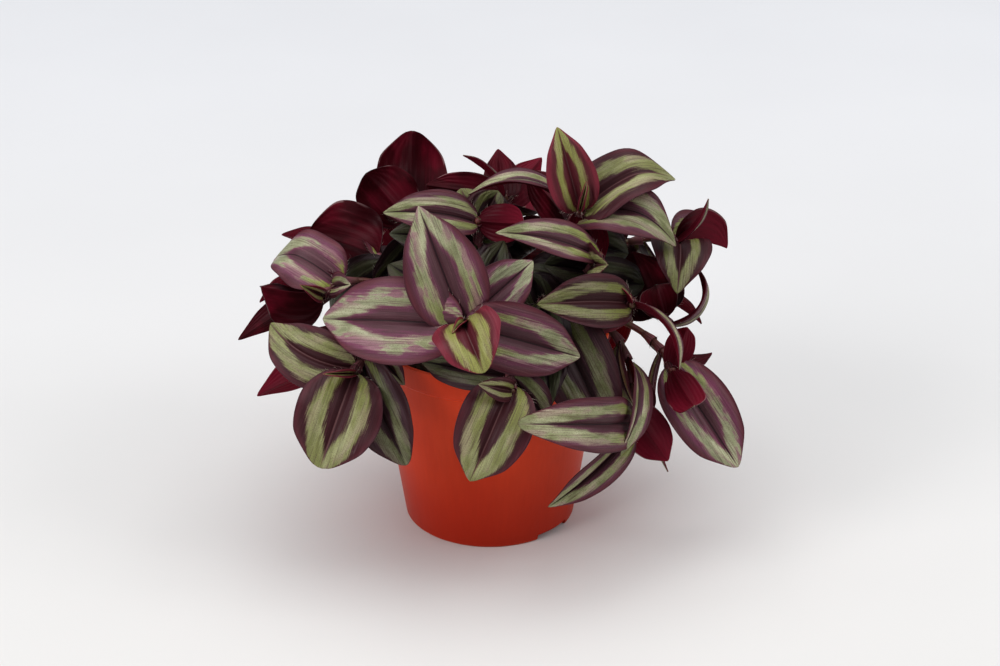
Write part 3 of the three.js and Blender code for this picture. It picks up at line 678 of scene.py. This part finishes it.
down = Finish("pale hairs")
speck = down.millimetres().cloud(0.6, 1)
down.done(
    Base_Color=down.blend(colour(196, 176, 160), colour(226, 214, 200), speck),
    Roughness=0.5 + 0.1 * speck,
)

# The leaves: fleshy pointed ovals that clasp the stem, folded a little along a sunk midrib. The
# upper side has two silver-green bands on purple-brown, the under side is burgundy, and the young
# ones at the ends are yellow-green with rust-red rims.

BLADE_ROWS = 34
HALF_COLUMNS = np.array([0.025, 0.07, *np.linspace(0.12, 0.94, 16), 0.985, 1])
BLADE_COLUMNS = np.concatenate([-HALF_COLUMNS[::-1], [0], HALF_COLUMNS])
BLADE_THICKNESS = 0.7
BLADE_EDGE = 0.3
BLADE_BULGE = 0.07
BLADE_END = 0.998
OUTLINE_RISE, OUTLINE_FALL, OUTLINE_BLUNT_FALL, OUTLINE_NECK = 0.45, 0.68, 0.46, 0.13
POINT_FROM = 0.72
POINT_DEPTH = 0.35
BLUNT_POINT_LOSS = 0.3
HOOK_FROM = 0.6
RIB_DEPTH = 0.8
RIB_WIDTH = 1.3
PLEAT_DEPTH = 0.15
PLEAT_SPACING = 0.22
PLEAT_SHIFT = 0.3
# How steeply the relief fades at the rib and at the tip
RIB_FADE, TIP_FADE = 6, 4
WAVE = 0.055
WAVE_COUNT = 1.6
BLUNT_WAVE_GAIN = 1.4
MARGIN_HAIRS = 5
MARGIN_HAIR_ROWS = (1, 6)
MARGIN_HAIR_LEAN = 0.5
PACKED_THICKNESS = 0.8
BEND_STEP = 5
BEND_LIFT = 11
BEND_SIDE = 7
BEND_MATCH = 0.03

# How each kind of leaf is coloured: how young and how lilac it is, and how light it is painted, each
# from 0 to 1. The last is painted light and shade: low for leaves deep inside the plant ("shade")
# and those hanging low in shadow ("dim"), high for the well-lit ones, and on the under side it
# paints the crimson glow of light shining through ("magenta")
LOOKS = {
    "silver": (0.0, 0.35, 0.85),
    "lilac": (0.0, 1.0, 1.0),
    "olive": (0.6, 0.05, 0.5),
    "dim": (0.2, 0.2, 0.36),
    "shade": (0.15, 0.1, 0.1),
    "fresh": (0.5, 0.1, 0.78),
    "mauve": (0.0, 0.75, 0.85),
    "young": (1.0, 0.0, 0.9),
    "magenta": (0.1, 0.6, 0.8),
    "wine": (0.1, 0.3, 0.0),
}


def outline(v, blunt):
    """Half the blade's width at v, from 0 at the stem to 1 at the tip, as a share of its widest."""
    fall = OUTLINE_FALL + (OUTLINE_BLUNT_FALL - OUTLINE_FALL) * blunt
    widest = OUTLINE_RISE / (OUTLINE_RISE + fall)
    body = (v / widest) ** OUTLINE_RISE * ((1 - v) / (1 - widest)) ** fall
    t = np.clip((v - POINT_FROM) / (1 - POINT_FROM), 0, 1)
    point = POINT_DEPTH * (1 - BLUNT_POINT_LOSS * max(blunt, 0)) * t * t * (3 - 2 * t)
    return np.maximum(body, OUTLINE_NECK * (1 - v)) * (1 - point)


def blade_surface(leaf, u, v, lift, wave=0.0):
    """Places on the blade, and half its width at each. u runs across it from -1 to 1, v along it,
    lift is in millimetres above its middle layer, and wave is a share of half its width."""
    chord = leaf["tip"] - leaf["base"]
    length = np.linalg.norm(chord)
    along = chord / length
    level = unit(np.cross(along, leaf["facing"]))
    turn = math.radians(leaf["turn"])
    face = np.cross(level, along) * math.cos(turn) + level * math.sin(turn)
    side = np.cross(along, face)
    bow, slope = 4 * v * (1 - v), 4 * (1 - 2 * v)
    droop = np.maximum(0, (v - HOOK_FROM) / (1 - HOOK_FROM))
    arch = leaf["arch"] * bow - leaf["hook"] * droop ** 2
    arch_slope = leaf["arch"] * slope - leaf["hook"] * 2 * droop / (1 - HOOK_FROM)
    centre = (leaf["base"] + chord * v[..., None] + face * (length * arch)[..., None]
              + side * (length * leaf["sway"] * bow)[..., None])
    run = unit(chord + face * (length * arch_slope)[..., None]
               + side * (length * leaf["sway"] * slope)[..., None])
    twist = math.radians(leaf["twist"]) * v[..., None]
    across = side * np.cos(twist) + face * np.sin(twist)
    across = unit(across - run * np.sum(across * run, axis=-1, keepdims=True))
    outward = np.cross(across, run)
    half_width = 0.5 * leaf["width"] * outline(v, leaf["blunt"])
    fold = math.radians(leaf["fold"])
    share = np.abs(u)
    reach = share * half_width
    bulge = BLADE_BULGE * half_width * 4 * share * (1 - share) + wave * half_width
    rise = reach * math.sin(fold) + bulge * math.cos(fold) + lift * np.cos(fold * share)
    spread = reach * math.cos(fold) - bulge * math.sin(fold) - lift * np.sin(fold * share)
    return (centre + across * (np.sign(u) * spread)[..., None] + outward * rise[..., None],
            half_width)


def spun(vector, axis, angle):
    """A direction turned about an axis by an angle in degrees."""
    return np.array(Matrix.Rotation(math.radians(angle), 3, Vector(axis)) @ Vector(vector))


# The bends to try, the smallest first, where a swing counts double
BENDS = sorted(((i * BEND_STEP, j * BEND_STEP) for i in range(-BEND_LIFT, BEND_LIFT + 1)
                for j in range(-BEND_SIDE, BEND_SIDE + 1)),
               key=lambda bend: math.hypot(bend[0], 2 * bend[1]))


def bent_as_packed(leaf, packed):
    """The leaf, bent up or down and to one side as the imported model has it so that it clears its
    neighbours, or None where there was no room for it."""
    chord = leaf["tip"] - leaf["base"]
    level = unit(np.cross(chord, leaf["facing"]))
    end, middle = np.array([1.0]), np.array([0.0])
    for lift, swing in BENDS:
        tip = leaf["base"] + spun(spun(chord, level, lift), leaf["facing"], swing)
        tried = {**leaf, "tip": tip}
        both = [blade_surface(tried, middle, end, np.array([side * PACKED_THICKNESS / 2]))[0][0]
                for side in (1, -1)]
        if all(packed.find(Vector(corner))[2] < BEND_MATCH for corner in both):
            return tried
    return None


def add_leaf(shoot, leaf):
    """A thin closed blade with its rib, its pleats, its waved rim and the hairs by its base."""
    share = np.linspace(0, 1, BLADE_ROWS)
    # The rows of corners lie closer together near both ends
    v = 0.5 * (share + 0.5 - 0.5 * np.cos(np.pi * share)) * BLADE_END
    v_grid, u_grid = np.meshgrid(v, BLADE_COLUMNS, indexing="ij")
    seed = leaf["seed"]
    wave_height = WAVE * (1 + BLUNT_WAVE_GAIN * max(leaf["blunt"], 0))
    wave_angle = 2 * np.pi * (WAVE_COUNT * v_grid + seed) + np.sign(u_grid) * 2 * np.pi * seed
    wave = wave_height * np.abs(u_grid) ** 2 * np.sin(wave_angle)
    lift = 0.5 * (BLADE_THICKNESS + (BLADE_EDGE - BLADE_THICKNESS) * u_grid ** 2)
    top, half_width = blade_surface(leaf, u_grid, v_grid, lift, wave)
    bottom, _ = blade_surface(leaf, u_grid, v_grid, -lift, wave)
    across_mm = u_grid * half_width
    before_tip = np.minimum(1, TIP_FADE * (1 - v_grid))
    rib = RIB_DEPTH * np.exp(-(across_mm / RIB_WIDTH) ** 2) * before_tip
    pleats = PLEAT_DEPTH * np.sin(2 * np.pi * (np.abs(u_grid) / PLEAT_SPACING + PLEAT_SHIFT * seed))
    pleats = pleats * np.minimum(1, RIB_FADE * np.abs(u_grid)) * before_tip
    normal = unit(top - bottom)
    sunk = normal * (rib + pleats)[..., None]
    top, bottom = top - sunk, bottom - sunk
    length = np.linalg.norm(leaf["tip"] - leaf["base"])
    blade = np.stack([u_grid, v_grid, np.full_like(u_grid, seed)], axis=-1)
    flat = np.stack([across_mm, v_grid * length, np.full_like(u_grid, seed * PATTERN_SPREAD)],
                    axis=-1)
    rings = np.concatenate([top, bottom[:, ::-1]], axis=1)
    columns = len(BLADE_COLUMNS)
    slots = [UPPER] * columns + [UNDER] * (columns - 1) + [UPPER]
    shoot.add_skin(rings, slots, np.concatenate([blade, blade[:, ::-1]], axis=1),
                   np.concatenate([flat, flat[:, ::-1]], axis=1), LOOKS[leaf["kind"]])
    for edge in (0, -1):
        for _ in range(MARGIN_HAIRS):
            row = chance.integers(*MARGIN_HAIR_ROWS)
            foot = top[row, edge]
            outward = unit(foot - top[row, columns // 2])
            lean = unit(outward + MARGIN_HAIR_LEAN * normal[row, edge] * chance.uniform(-1, 1))
            shoot.add_hair(foot, lean, chance.uniform(*HAIR_LENGTHS))


upper = Finish("leaf upper side")
u, v, seed = upper.mark("blade").parts()
youth, lilac, light = upper.mark("looks").parts()
flat = upper.mark("flat")
from_rib, _, _ = flat.parts()
leaf_tint = flat.stretched(0, 0, 1).cloud(1, 0)
wander = flat.stretched(0.07, 0.06, 1).cloud(1, 1)
ragged = flat.stretched(0.8, 0.14, 1).cloud(1, 4)
fibre = flat.stretched(2.2, 0.05, 1).cloud(1, 3)
pleat = flat.stretched(0.45, 0.012, 1).cloud(1, 1)
patch = flat.stretched(0.22, 0.08, 2).cloud(1, 4)
cells = flat.stretched(3.2, 1.8, 1).cloud(1, 2)

# Two silver bands between a dark middle band, which tapers out, and a purple-brown border
out = abs(u + 0.22 * (wander - 0.5))
feather = 0.2 * (ragged - 0.5) + 0.2 * (fibre - 0.5) + 0.14 * (cells - 0.5)
ripe = youth.ramp(0.5, 1)
middle_edge = (0.17 + 0.25 * leaf_tint + 0.1 * lilac) * v.ramp(0.97, 0.45)
border_edge = 0.64 + 0.12 * seed - 0.06 * ripe + 0.28 * v.ramp(0.7, 1)
past_middle = out - middle_edge + feather
before_border = border_edge - out + feather
silver = past_middle.ramp(-0.05, 0.07) * before_border.ramp(-0.05, 0.08)

pale = upper.blend(colour(130, 134, 94), colour(186, 187, 150), patch.ramp(0.35, 0.65))
pale = upper.blend(pale, colour(158, 158, 142), lilac.ramp(0.5, 1) * 0.3)
pale = upper.blend(pale, colour(142, 150, 68), v.ramp(0.6, 0) * leaf_tint.ramp(0.3, 0.6))
pale = upper.blend(pale, colour(152, 152, 82), 0.8 * youth)
blush = (0.25 + 0.75 * lilac) * patch.ramp(0.47, 0.57) * out.ramp(0.3, 0.6)
pale = upper.blend(pale, colour(138, 84, 108), 0.85 * blush)
pale = upper.blend(pale, colour(96, 72, 62), cells.ramp(0.47, 0.66) * 0.5)
pale = upper.blend(pale, colour(106, 82, 74), fibre.ramp(0.44, 0.3) * 0.75)

dark = upper.blend(colour(74, 44, 48), colour(88, 54, 60), out.ramp(0.4, 0.75))
dark = upper.blend(dark, colour(108, 72, 82), lilac * (0.2 + 0.6 * patch))
dark = upper.blend(dark, colour(118, 92, 84), fibre.ramp(0.56, 0.72) * 0.35)
fringe = past_middle.ramp(-0.16, 0) * before_border.ramp(-0.2, 0)
dark = upper.blend(dark, colour(116, 60, 86), fringe * (0.3 + 0.6 * lilac))
wine = upper.blend(colour(66, 25, 31), colour(94, 38, 46), ripe)
dark = upper.blend(dark, wine, youth.ramp(0, 0.7))
rust = upper.blend(colour(96, 42, 52), colour(122, 44, 58), ripe)
dark = upper.blend(dark, rust, 0.9 * out.ramp(0.76, 1) + 0.6 * ripe * out.ramp(0.7, 0.86))

tone = upper.blend(dark, pale, silver)
thin_rim = upper.blend(colour(74, 34, 44), rust, ripe)
tone = upper.blend(tone, thin_rim, 0.75 * abs(u).ramp(0.93, 0.985))
# A line along the midrib: on older leaves a dark one, painted shade in the sunk crease, and on young
# ones a pale pinkish one
line = abs(from_rib).ramp(0.6, 0.15) * v.ramp(1, 0.85)
rib = upper.blend(colour(34, 17, 20), colour(122, 84, 84), youth.ramp(0.1, 0.5))
tone = upper.blend(tone, rib, 0.75 * line)
# Painted light and shade: the leaf's light value darkens leaves that sit in shadow, and the light
# and dark lines of the pleats are painted in, together with the fibres and cells that really mottle
# the blade
depth = (0.11 + 1.02 * light) * (0.36 + 0.52 * fibre + 0.3 * cells + 0.44 * pleat)
upper.done(
    Base_Color=upper.shaded(tone, depth),
    Roughness=0.36 + 0.2 * fibre - 0.06 * silver,
    Normal=upper.relief(0.3 * fibre + 0.1 * cells + 1.2 * pleat, 0.6),
    Specular_IOR_Level=0.3,
)

under = Finish("leaf under side")
u, v, _ = under.mark("blade").parts()
_, _, light = under.mark("looks").parts()
flat = under.mark("flat")
fibre = flat.stretched(1.3, 0.05, 1).cloud(1, 2)
patch = flat.stretched(0.1, 0.06, 1).cloud(1, 2)
pleat = flat.stretched(0.45, 0.012, 1).cloud(1, 1)
# Painted light: the leaf's light value brightens the burgundy towards the crimson of light shining
# through the leaf
tone = under.blend(colour(70, 14, 24), colour(116, 26, 46), light)
tone = under.blend(tone, colour(116, 24, 44), 0.7 * patch.ramp(0.45, 0.7))
tone = under.blend(tone, colour(110, 34, 52), fibre.ramp(0.56, 0.72) * 0.25)
rim = abs(u).ramp(0.93, 0.97) * patch.ramp(0.48, 0.56)
tone = under.blend(tone, colour(140, 112, 112), 0.8 * rim)
# Painted shade: the under side is darker towards the leaf's base and towards its midrib, and mottled
# along its fibres
depth = (0.4 + 0.3 * fibre + 0.55 * v.ramp(0, 0.8)) * (0.75 + 0.25 * abs(u).ramp(0, 0.6))
under.done(
    Base_Color=under.shaded(tone, depth),
    Roughness=0.36 + 0.14 * fibre,
    Normal=under.relief(0.3 * fibre + 0.5 * pleat, 0.4),
    Specular_IOR_Level=0.12,
)

shoot_finishes = [upper.material, under.material, flesh.material, paper.material, down.material]


def make_shoot(node, knots, leaves):
    """One piece for one shoot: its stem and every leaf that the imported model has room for."""
    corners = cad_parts[node].data.vertices
    packed = KDTree(len(corners))
    for i, corner in enumerate(corners):
        packed.insert(corner.co / MM, i)
    packed.balance()
    shoot = Shoot()
    kept = [placed for leaf in leaves if (placed := bent_as_packed(leaf, packed))]
    add_stem(shoot, knots, [leaf["at"] for leaf in kept], chance.random())
    for leaf in kept:
        leaf["base"] = curve_places(knots, [leaf["at"]])[0]
        add_leaf(shoot, leaf)
    piece = shoot.make(node.replace("shoot", "leafy_stem"), shoot_finishes)
    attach(piece, "root")
    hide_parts(node)


# The sixteen shoots that the front shows. Each is one stem with the leaves that grew on it, rooted
# in the soil and leaning out over the lip. They are laid out as they look from a spot in front of
# the plant.

AIM = np.array([5.2, 5.7, 95.4])
EYE_DISTANCE = 1110
eye_tilt = math.radians(EYE_HEIGHT_ANGLE)
TOWARDS_EYE = np.array([0, -math.cos(eye_tilt), math.sin(eye_tilt)])
EYE_UP = np.array([0, math.sin(eye_tilt), math.cos(eye_tilt)])

# Each place is how far right, up and out towards the eye it is from AIM. A shoot has its node, its
# root, how far it rises, the bend and end of its stem, and its leaves. A leaf has its place along
# the stem, its tip, its width, its arch, turn and fold, its kind, and any sway, twist, hook and
# bluntness of its tip.
FRONT_SHOOTS = [
    ("shoot_front", (-7, -22), 30, (-20, 4, 58), (-18, 4, 90), [
        (0.95, (-88.5, 7, 62), 42, 0.1, 4, 10, "lilac", 0, 0, 0, 0.1),
        (0.9, (-40.5, 63, 76), 39, 0.08, 0, 12, "mauve", 0, 0, 0, -0.6),
        (0.92, (40, -12, 72), 34, 0.12, 0, 14, "mauve"),
        (1, (-8, -20, 110), 34, 0.2, 0, 22, "young", 0, 0, 0, 0.6),
        (1, (-27, -4, 101), 8, 0.1, 30, 60, "young"),
        (0.78, (16.5, 36, 64), 27, 0.08, 0, 12, "lilac"),
        (0.7, (-56, 34, 40), 26, 0.12, 20, 12, "shade"),
        (0.62, (2, 46, 40), 24, 0.12, 0, 12, "shade"),
    ]),
    ("shoot_left", (-26, -24), 24, (-66, -4, 46), (-73, -20, 60), [
        (0.96, (-114.5, 5, 50), 30, 0.1, 6, 8, "fresh", -0.12),
        (1, (-90, -67.5, 72), 41, 0.12, 0, 8, "fresh", 0, 0, 0, 0.8),
        (0.88, (-46.5, -66, 62), 29, 0.1, 10, 10, "dim", 0, 0, 0, 0.6),
        (1, (-88.5, -20.5, 74), 8, 0.1, 0, 60, "young"),
        (0.84, (-121.5, -31.5, 38), 24, 0.1, 150, 24, "magenta"),
        (0.8, (-62, -6, 64), 14, 0.1, 0, 20, "silver"),
        (0.74, (-50, -24, 62), 14, 0.1, 0, 20, "silver"),
        (0.5, (-52, 14, 24), 26, 0.14, 30, 12, "shade"),
        (0.66, (-110, -6, 14), 18, 0.08, 168, 10, "wine"),
        (0.6, (-98, -16, 30), 18, 0.12, 150, 14, "wine"),
    ]),
    ("shoot_far_left", (-36, -4), 30, (-72, 34, 20), (-89, 19, 34), [
        (0.84, (-112, 43, 20), 34, 0.12, 28, 6, "lilac", 0, 0, 0.26, 0.8),
        (0.98, (-119.5, 23, 54), 36, 0.06, -140, 40, "wine"),
        (0.9, (-131, -3.5, 10), 17, 0.12, 160, 14, "wine"),
        (1, (-100, 24, 58), 9, 0.1, 0, 34, "young"),
        (0.8, (-122.5, 15, 8), 20, 0.1, 110, 20, "magenta"),
        (0.56, (-42, 40, 0), 26, 0.14, 40, 12, "shade"),
        (0.46, (-62, -2, 8), 24, 0.14, 60, 12, "shade"),
        (0.9, (-74.5, 24, 42), 14, 0.1, -20, 14, "silver"),
    ]),
    ("shoot_back_left", (-28, 12), 34, (-60, 30, 14), (-61, 38, 4), [
        (1, (-96, 49, -4), 44, 0.16, 160, 8, "wine", 0, 0, 0, 0.9),
        (0.84, (-88, 26, -58), 28, 0.16, 120, 10, "silver"),
        (0.86, (-38, 56, 16), 24, 0.15, 120, 10, "wine"),
        (0.66, (-86, 8, -12), 30, 0.12, 20, 12, "shade"),
    ]),
    ("shoot_top_left", (-14, 16), 40, (-44, 44, 6), (-47, 58, -4), [
        (0.97, (-67, 80, 2), 32, 0.1, 176, 10, "wine", 0, 0, 0.1, 0.6),
        (0.93, (-43.5, 100, -8), 38, 0.12, 180, 10, "wine", 0, 0, 0.1, 0.8),
        (0.86, (-76, 60, -56), 26, 0.2, 120, 10, "silver"),
        (0.9, (-24, 70, -48), 26, 0.2, 130, 10, "silver"),
    ]),
    ("shoot_upper_middle", (-8, -4), 46, (-10, 46, 10), (-11, 56, 34), [
        (0.97, (-58.5, 60, 40), 24, 0.14, 22, 10, "silver", 0, 0, 0, -0.3),
        (1, (6, 54, 58), 20, 0.1, 180, 14, "magenta"),
        (0.86, (-1, 71, 20), 24, 0.1, 0, 12, "olive"),
        (0.8, (-20, 73, 16), 24, 0.1, 10, 12, "olive"),
        (0.74, (14, 62, 20), 22, 0.1, 0, 12, "shade"),
        (0.66, (-52, 48, 4), 28, 0.12, 10, 12, "shade"),
    ]),
    ("shoot_centre", (24, -12), 32, (50, 30, 20), (50, 39, 46), [
        (0.96, (-3.5, 50, 54), 23, 0.1, 38, 10, "silver", 0, 0, 0, -0.4),
        (0.8, (64, 33, 60), 22, 0.1, 0, 18, "fresh"),
        (0.7, (22, 34, 40), 26, 0.1, 20, 12, "shade"),
        (0.62, (72, 24, 6), 24, 0.1, 0, 12, "shade"),
        (0.46, (12, 28, 14), 30, 0.1, 10, 12, "shade"),
        (0.4, (48, 14, 10), 28, 0.1, 0, 12, "shade"),
    ]),
    ("shoot_top", (14, -4), 46, (42, 58, 6), (40, 61.5, 38), [
        (0.97, (28.5, 103, 46), 26, 0.08, 0, 22, "young", 0, 0, 0, -0.3),
        (0.92, (84, 85, 32), 36, 0.12, -38, 10, "fresh", 0, 0, 0.28, 0.2),
        (0.84, (-13.5, 60, 48), 24, 0.22, 70, 16, "silver"),
        (0.8, (88, 50, 34), 33, 0.24, -36, 6, "silver", 0, 0, 0.2, 0.3),
        (1, (43.5, 76, 48), 7, 0.1, 0, 60, "young"),
        (0.7, (12, 82, -6), 24, 0.1, 160, 10, "wine"),
        (0.56, (62, 40, -4), 30, 0.1, 0, 12, "shade"),
        (0.98, (49, 44, 56), 18, 0.14, 180, 16, "magenta"),
    ]),
    ("shoot_back_top", (0, 18), 46, (2, 60, -4), (2, 68, 8), [
        (0.96, (-37, 74, 10), 20, 0.1, 170, 14, "wine"),
        (1, (-1, 92, -4), 20, 0.1, 180, 14, "wine"),
        (1, (-18.5, 88.5, 6), 14, 0.12, 86, 20, "silver"),
        (0.92, (25, 93.5, 0), 20, 0.1, 180, 14, "magenta"),
        (0.86, (16, 78, -44), 26, 0.2, 120, 10, "silver"),
        (0.82, (-16, 74, -42), 26, 0.2, 120, 10, "silver"),
        (0.5, (22, 36, -2), 26, 0.14, 30, 12, "shade"),
        (0.42, (-26, 34, -10), 26, 0.14, 30, 12, "shade"),
    ]),
    ("shoot_right_upper", (28, 20), 36, (80, 54, -6), (90, 44, 2), [
        (0.98, (88.5, 19.5, 30), 31, 0.26, 0, 14, "olive"),
        (0.94, (113.5, 42.5, -10), 34, 0.1, -90, 62, "magenta"),
        (0.92, (103.5, 71, 6), 10, 0.1, 85, 20, "lilac"),
        (0.88, (74, 46, -22), 16, 0.1, 90, 10, "silver"),
        (0.7, (98, 40, -54), 26, 0.15, 110, 10, "silver"),
        (0.5, (62, 24, -14), 32, 0.1, 180, 12, "wine"),
        (0.6, (42, 46, -16), 30, 0.1, 180, 12, "wine"),
    ]),
    ("shoot_middle", (14, -24), 26, (22, 14, 30), (22, 16, 56), [
        (1, (36, 7, 68), 8, 0.1, 0, 50, "young"),
        (0.92, (56, -52, 44), 38, 0.12, 0, 10, "dim"),
        (0.84, (30, -44, 66), 26, 0.1, 0, 10, "shade"),
        (0.76, (14, 30, 44), 24, 0.1, 0, 12, "shade"),
        (0.66, (40, 2, 30), 28, 0.12, 0, 12, "shade"),
    ]),
    ("shoot_centre_right", (34, -18), 26, (62, 20, 26), (66, 14, 50), [
        (0.95, (14, 14, 66), 27, 0.12, 10, 10, "olive"),
        (0.9, (38, 1, 58), 18, 0.12, 0, 14, "young"),
        (0.97, (89.5, -18.5, 58), 16, 0.2, -78, 16, "silver"),
        (1, (51.5, 27, 56), 10, 0.1, 80, 20, "young"),
    ]),
    ("shoot_right", (38, 10), 22, (80, 16, 6), (85, 4, 20), [
        (1, (96.5, 35.5, 18), 22, 0.34, 80, 8, "silver"),
        (0.84, (66, 42, 10), 36, 0.12, 180, 10, "wine"),
        (0.9, (78, 24, 34), 20, 0.1, 180, 12, "wine"),
    ]),
    ("shoot_lower_middle", (2, -44), 16, (5, -8, 66), (6, -29, 84), [
        (1, (-11, -25.5, 98), 12, 0.12, 0, 18, "fresh"),
        (0.95, (-15, -74, 82), 36, 0.2, 0, 12, "fresh"),
        (0.86, (-39.5, -14, 60), 20, 0.1, 0, 10, "dim"),
        (0.9, (24, -40, 68), 22, 0.12, 0, 16, "dim"),
        (0.76, (36, -22, 60), 22, 0.1, 0, 12, "dim"),
    ]),
    ("shoot_lower_right", (40, -14), 26, (76, 10, 30), (64, -56, 50), [
        (0.72, (60, -61, 70), 18, 0.14, -50, 24, "silver"),
        (0.97, (24, -87, 62), 20, 0.1, -20, 36, "silver"),
        (0.9, (84, -64, 48), 23, 0.12, 176, 12, "magenta"),
        (0.94, (5, -50, 94), 27, 0.16, 0, 10, "silver", 0, 0, 0.1, 0.9),
        (0.82, (75, -42, 40), 18, 0.1, 176, 14, "wine"),
        (0.62, (76, -38, 54), 16, 0.1, 60, 16, "silver"),
    ]),
    ("shoot_low_right", (42, 2), 20, (78, 6, 16), (86, -18.5, 38), [
        (0.96, (119, -67, 34), 33, 0.08, 0, 10, "lilac", 0, 0, 0, 0.3),
        (1, (93, 0, 56), 15, 0.1, 176, 16, "magenta"),
        (1, (99.5, -42, 70), 19, 0.12, 180, 16, "magenta"),
        (0.86, (84, -69.5, 24), 11, 0.1, 80, 20, "silver"),
        (0.78, (106, -10, 6), 22, 0.12, 100, 12, "wine"),
    ]),
]


def seen(place):
    """Where a place is that the eye sees this far right, up and out from AIM."""
    right, up, out = place
    near = (EYE_DISTANCE - out) / EYE_DISTANCE
    return AIM + np.array([right * near, 0, 0]) + EYE_UP * up * near + TOWARDS_EYE * out


for node, root, lift, bend, end, rows in FRONT_SHOOTS:
    knots = stem_knots(root, lift, seen(bend), seen(end))
    leaves = []
    for at, tip, width, arch, turn, fold, kind, *extra in rows:
        sway, twist, hook, blunt = (*extra, 0, 0, 0, 0)[:4]
        leaves.append({
            "at": at, "base": on_stem(knots, at), "tip": seen(tip), "facing": TOWARDS_EYE,
            "width": width, "arch": arch, "turn": turn, "fold": fold, "sway": sway,
            "twist": twist, "hook": hook, "blunt": blunt, "kind": kind, "seed": chance.random(),
        })
    make_shoot(node, knots, leaves)

# The seven shoots at the back and inside, with the same stems and leaves. They are laid out by their
# heading from the pot's axis, and the leaves stand in a spiral round the stem's end, each 137.5
# degrees on from the one before, as this plant grows them.

# A shoot has its node, its heading, the radius that it roots at, the bend and end of its stem as
# (radius, height), the lift of its spiral's axis in degrees, and the length of its leaves
BACK_SHOOTS = [
    ("shoot_back_right", 24, 43, (62, 120), (80, 104), 32, 44),
    ("shoot_back_right_low", 54, 42, (62, 118), (78, 100), 32, 46),
    ("shoot_back", 88, 42, (60, 122), (77, 106), 32, 47),
    ("shoot_back_low_left", 120, 42, (62, 118), (78, 98), 32, 46),
    ("shoot_back_far_left", 156, 42, (62, 120), (80, 106), 32, 44),
    ("shoot_inner_right", 8, 20, (30, 106), (36, 116), 66, 38),
    ("shoot_inner_back", 76, 30, (38, 120), (48, 134), 55, 42),
]
BACK_STEM_RISE = 0.5
BACK_LEAF_STEP = 0.07
BACK_LEAF_TURN = 137.5
BACK_LEAF_RISE = (70, 42, 24, 10, -4)
BACK_LEAF_SHAPE = 0.6
BACK_LEAF_SIZES = (0.86, 1.14)
BACK_LEAF_ARCHES = (0.1, 0.2)
BACK_LEAF_TURNS = (-15, 15)
BACK_LEAF_FOLDS = (8, 18)
BACK_LEAF_SWAYS = (-0.05, 0.05)
BACK_LEAF_TWISTS = (-10, 10)
BACK_BUD_SIZE, BACK_BUD_SHAPE, BACK_BUD_FOLD = 0.5, 0.4, 40
BACK_LEAF_KINDS = ("young", "fresh", "silver", "silver", "lilac")
DRAW_SEED = 41
DRAW_FACTOR, DRAW_STEP, DRAW_SPAN = 1664525, 1013904223, 2 ** 32


def even_draws(state):
    """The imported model's own draws, from 0 to 1, so that these leaves stand where it has them."""
    while True:
        state = (state * DRAW_FACTOR + DRAW_STEP) % DRAW_SPAN
        yield state / DRAW_SPAN


draws = even_draws(DRAW_SEED)


def between(low, high):
    return low + (high - low) * next(draws)


for node, heading, root_radius, bend, end, axis_lift, length in BACK_SHOOTS:
    away = np.array([math.cos(math.radians(heading)), math.sin(math.radians(heading)), 0])
    up = np.array([0, 0, 1.0])
    root = root_radius * away[:2]
    knots = stem_knots(root, BACK_STEM_RISE * (bend[1] - SOIL_TOP), away * bend[0] + up * bend[1],
                       away * end[0] + up * end[1])
    axis = away * math.cos(math.radians(axis_lift)) + up * math.sin(math.radians(axis_lift))
    level = np.cross(up, away)
    upright = np.cross(axis, level)
    first = 360 * next(draws)
    leaves = []
    for i, rise_angle in enumerate(BACK_LEAF_RISE):
        bud = i == 0
        around = math.radians(first + i * BACK_LEAF_TURN)
        rise = math.radians(rise_angle)
        size = length * (BACK_BUD_SIZE if bud else between(*BACK_LEAF_SIZES))
        direction = ((level * math.cos(around) + upright * math.sin(around)) * math.cos(rise)
                     + axis * math.sin(rise))
        at = 1 - BACK_LEAF_STEP * i
        base = on_stem(knots, at)
        leaves.append({
            "at": at, "base": base, "tip": base + direction * size, "facing": axis,
            "width": size * (BACK_BUD_SHAPE if bud else BACK_LEAF_SHAPE),
            "arch": between(*BACK_LEAF_ARCHES),
            "turn": between(*BACK_LEAF_TURNS),
            "fold": BACK_BUD_FOLD if bud else between(*BACK_LEAF_FOLDS),
            "sway": between(*BACK_LEAF_SWAYS),
            "twist": between(*BACK_LEAF_TWISTS),
            "hook": 0, "blunt": 0, "kind": BACK_LEAF_KINDS[i], "seed": chance.random(),
        })
    make_shoot(node, knots, leaves)
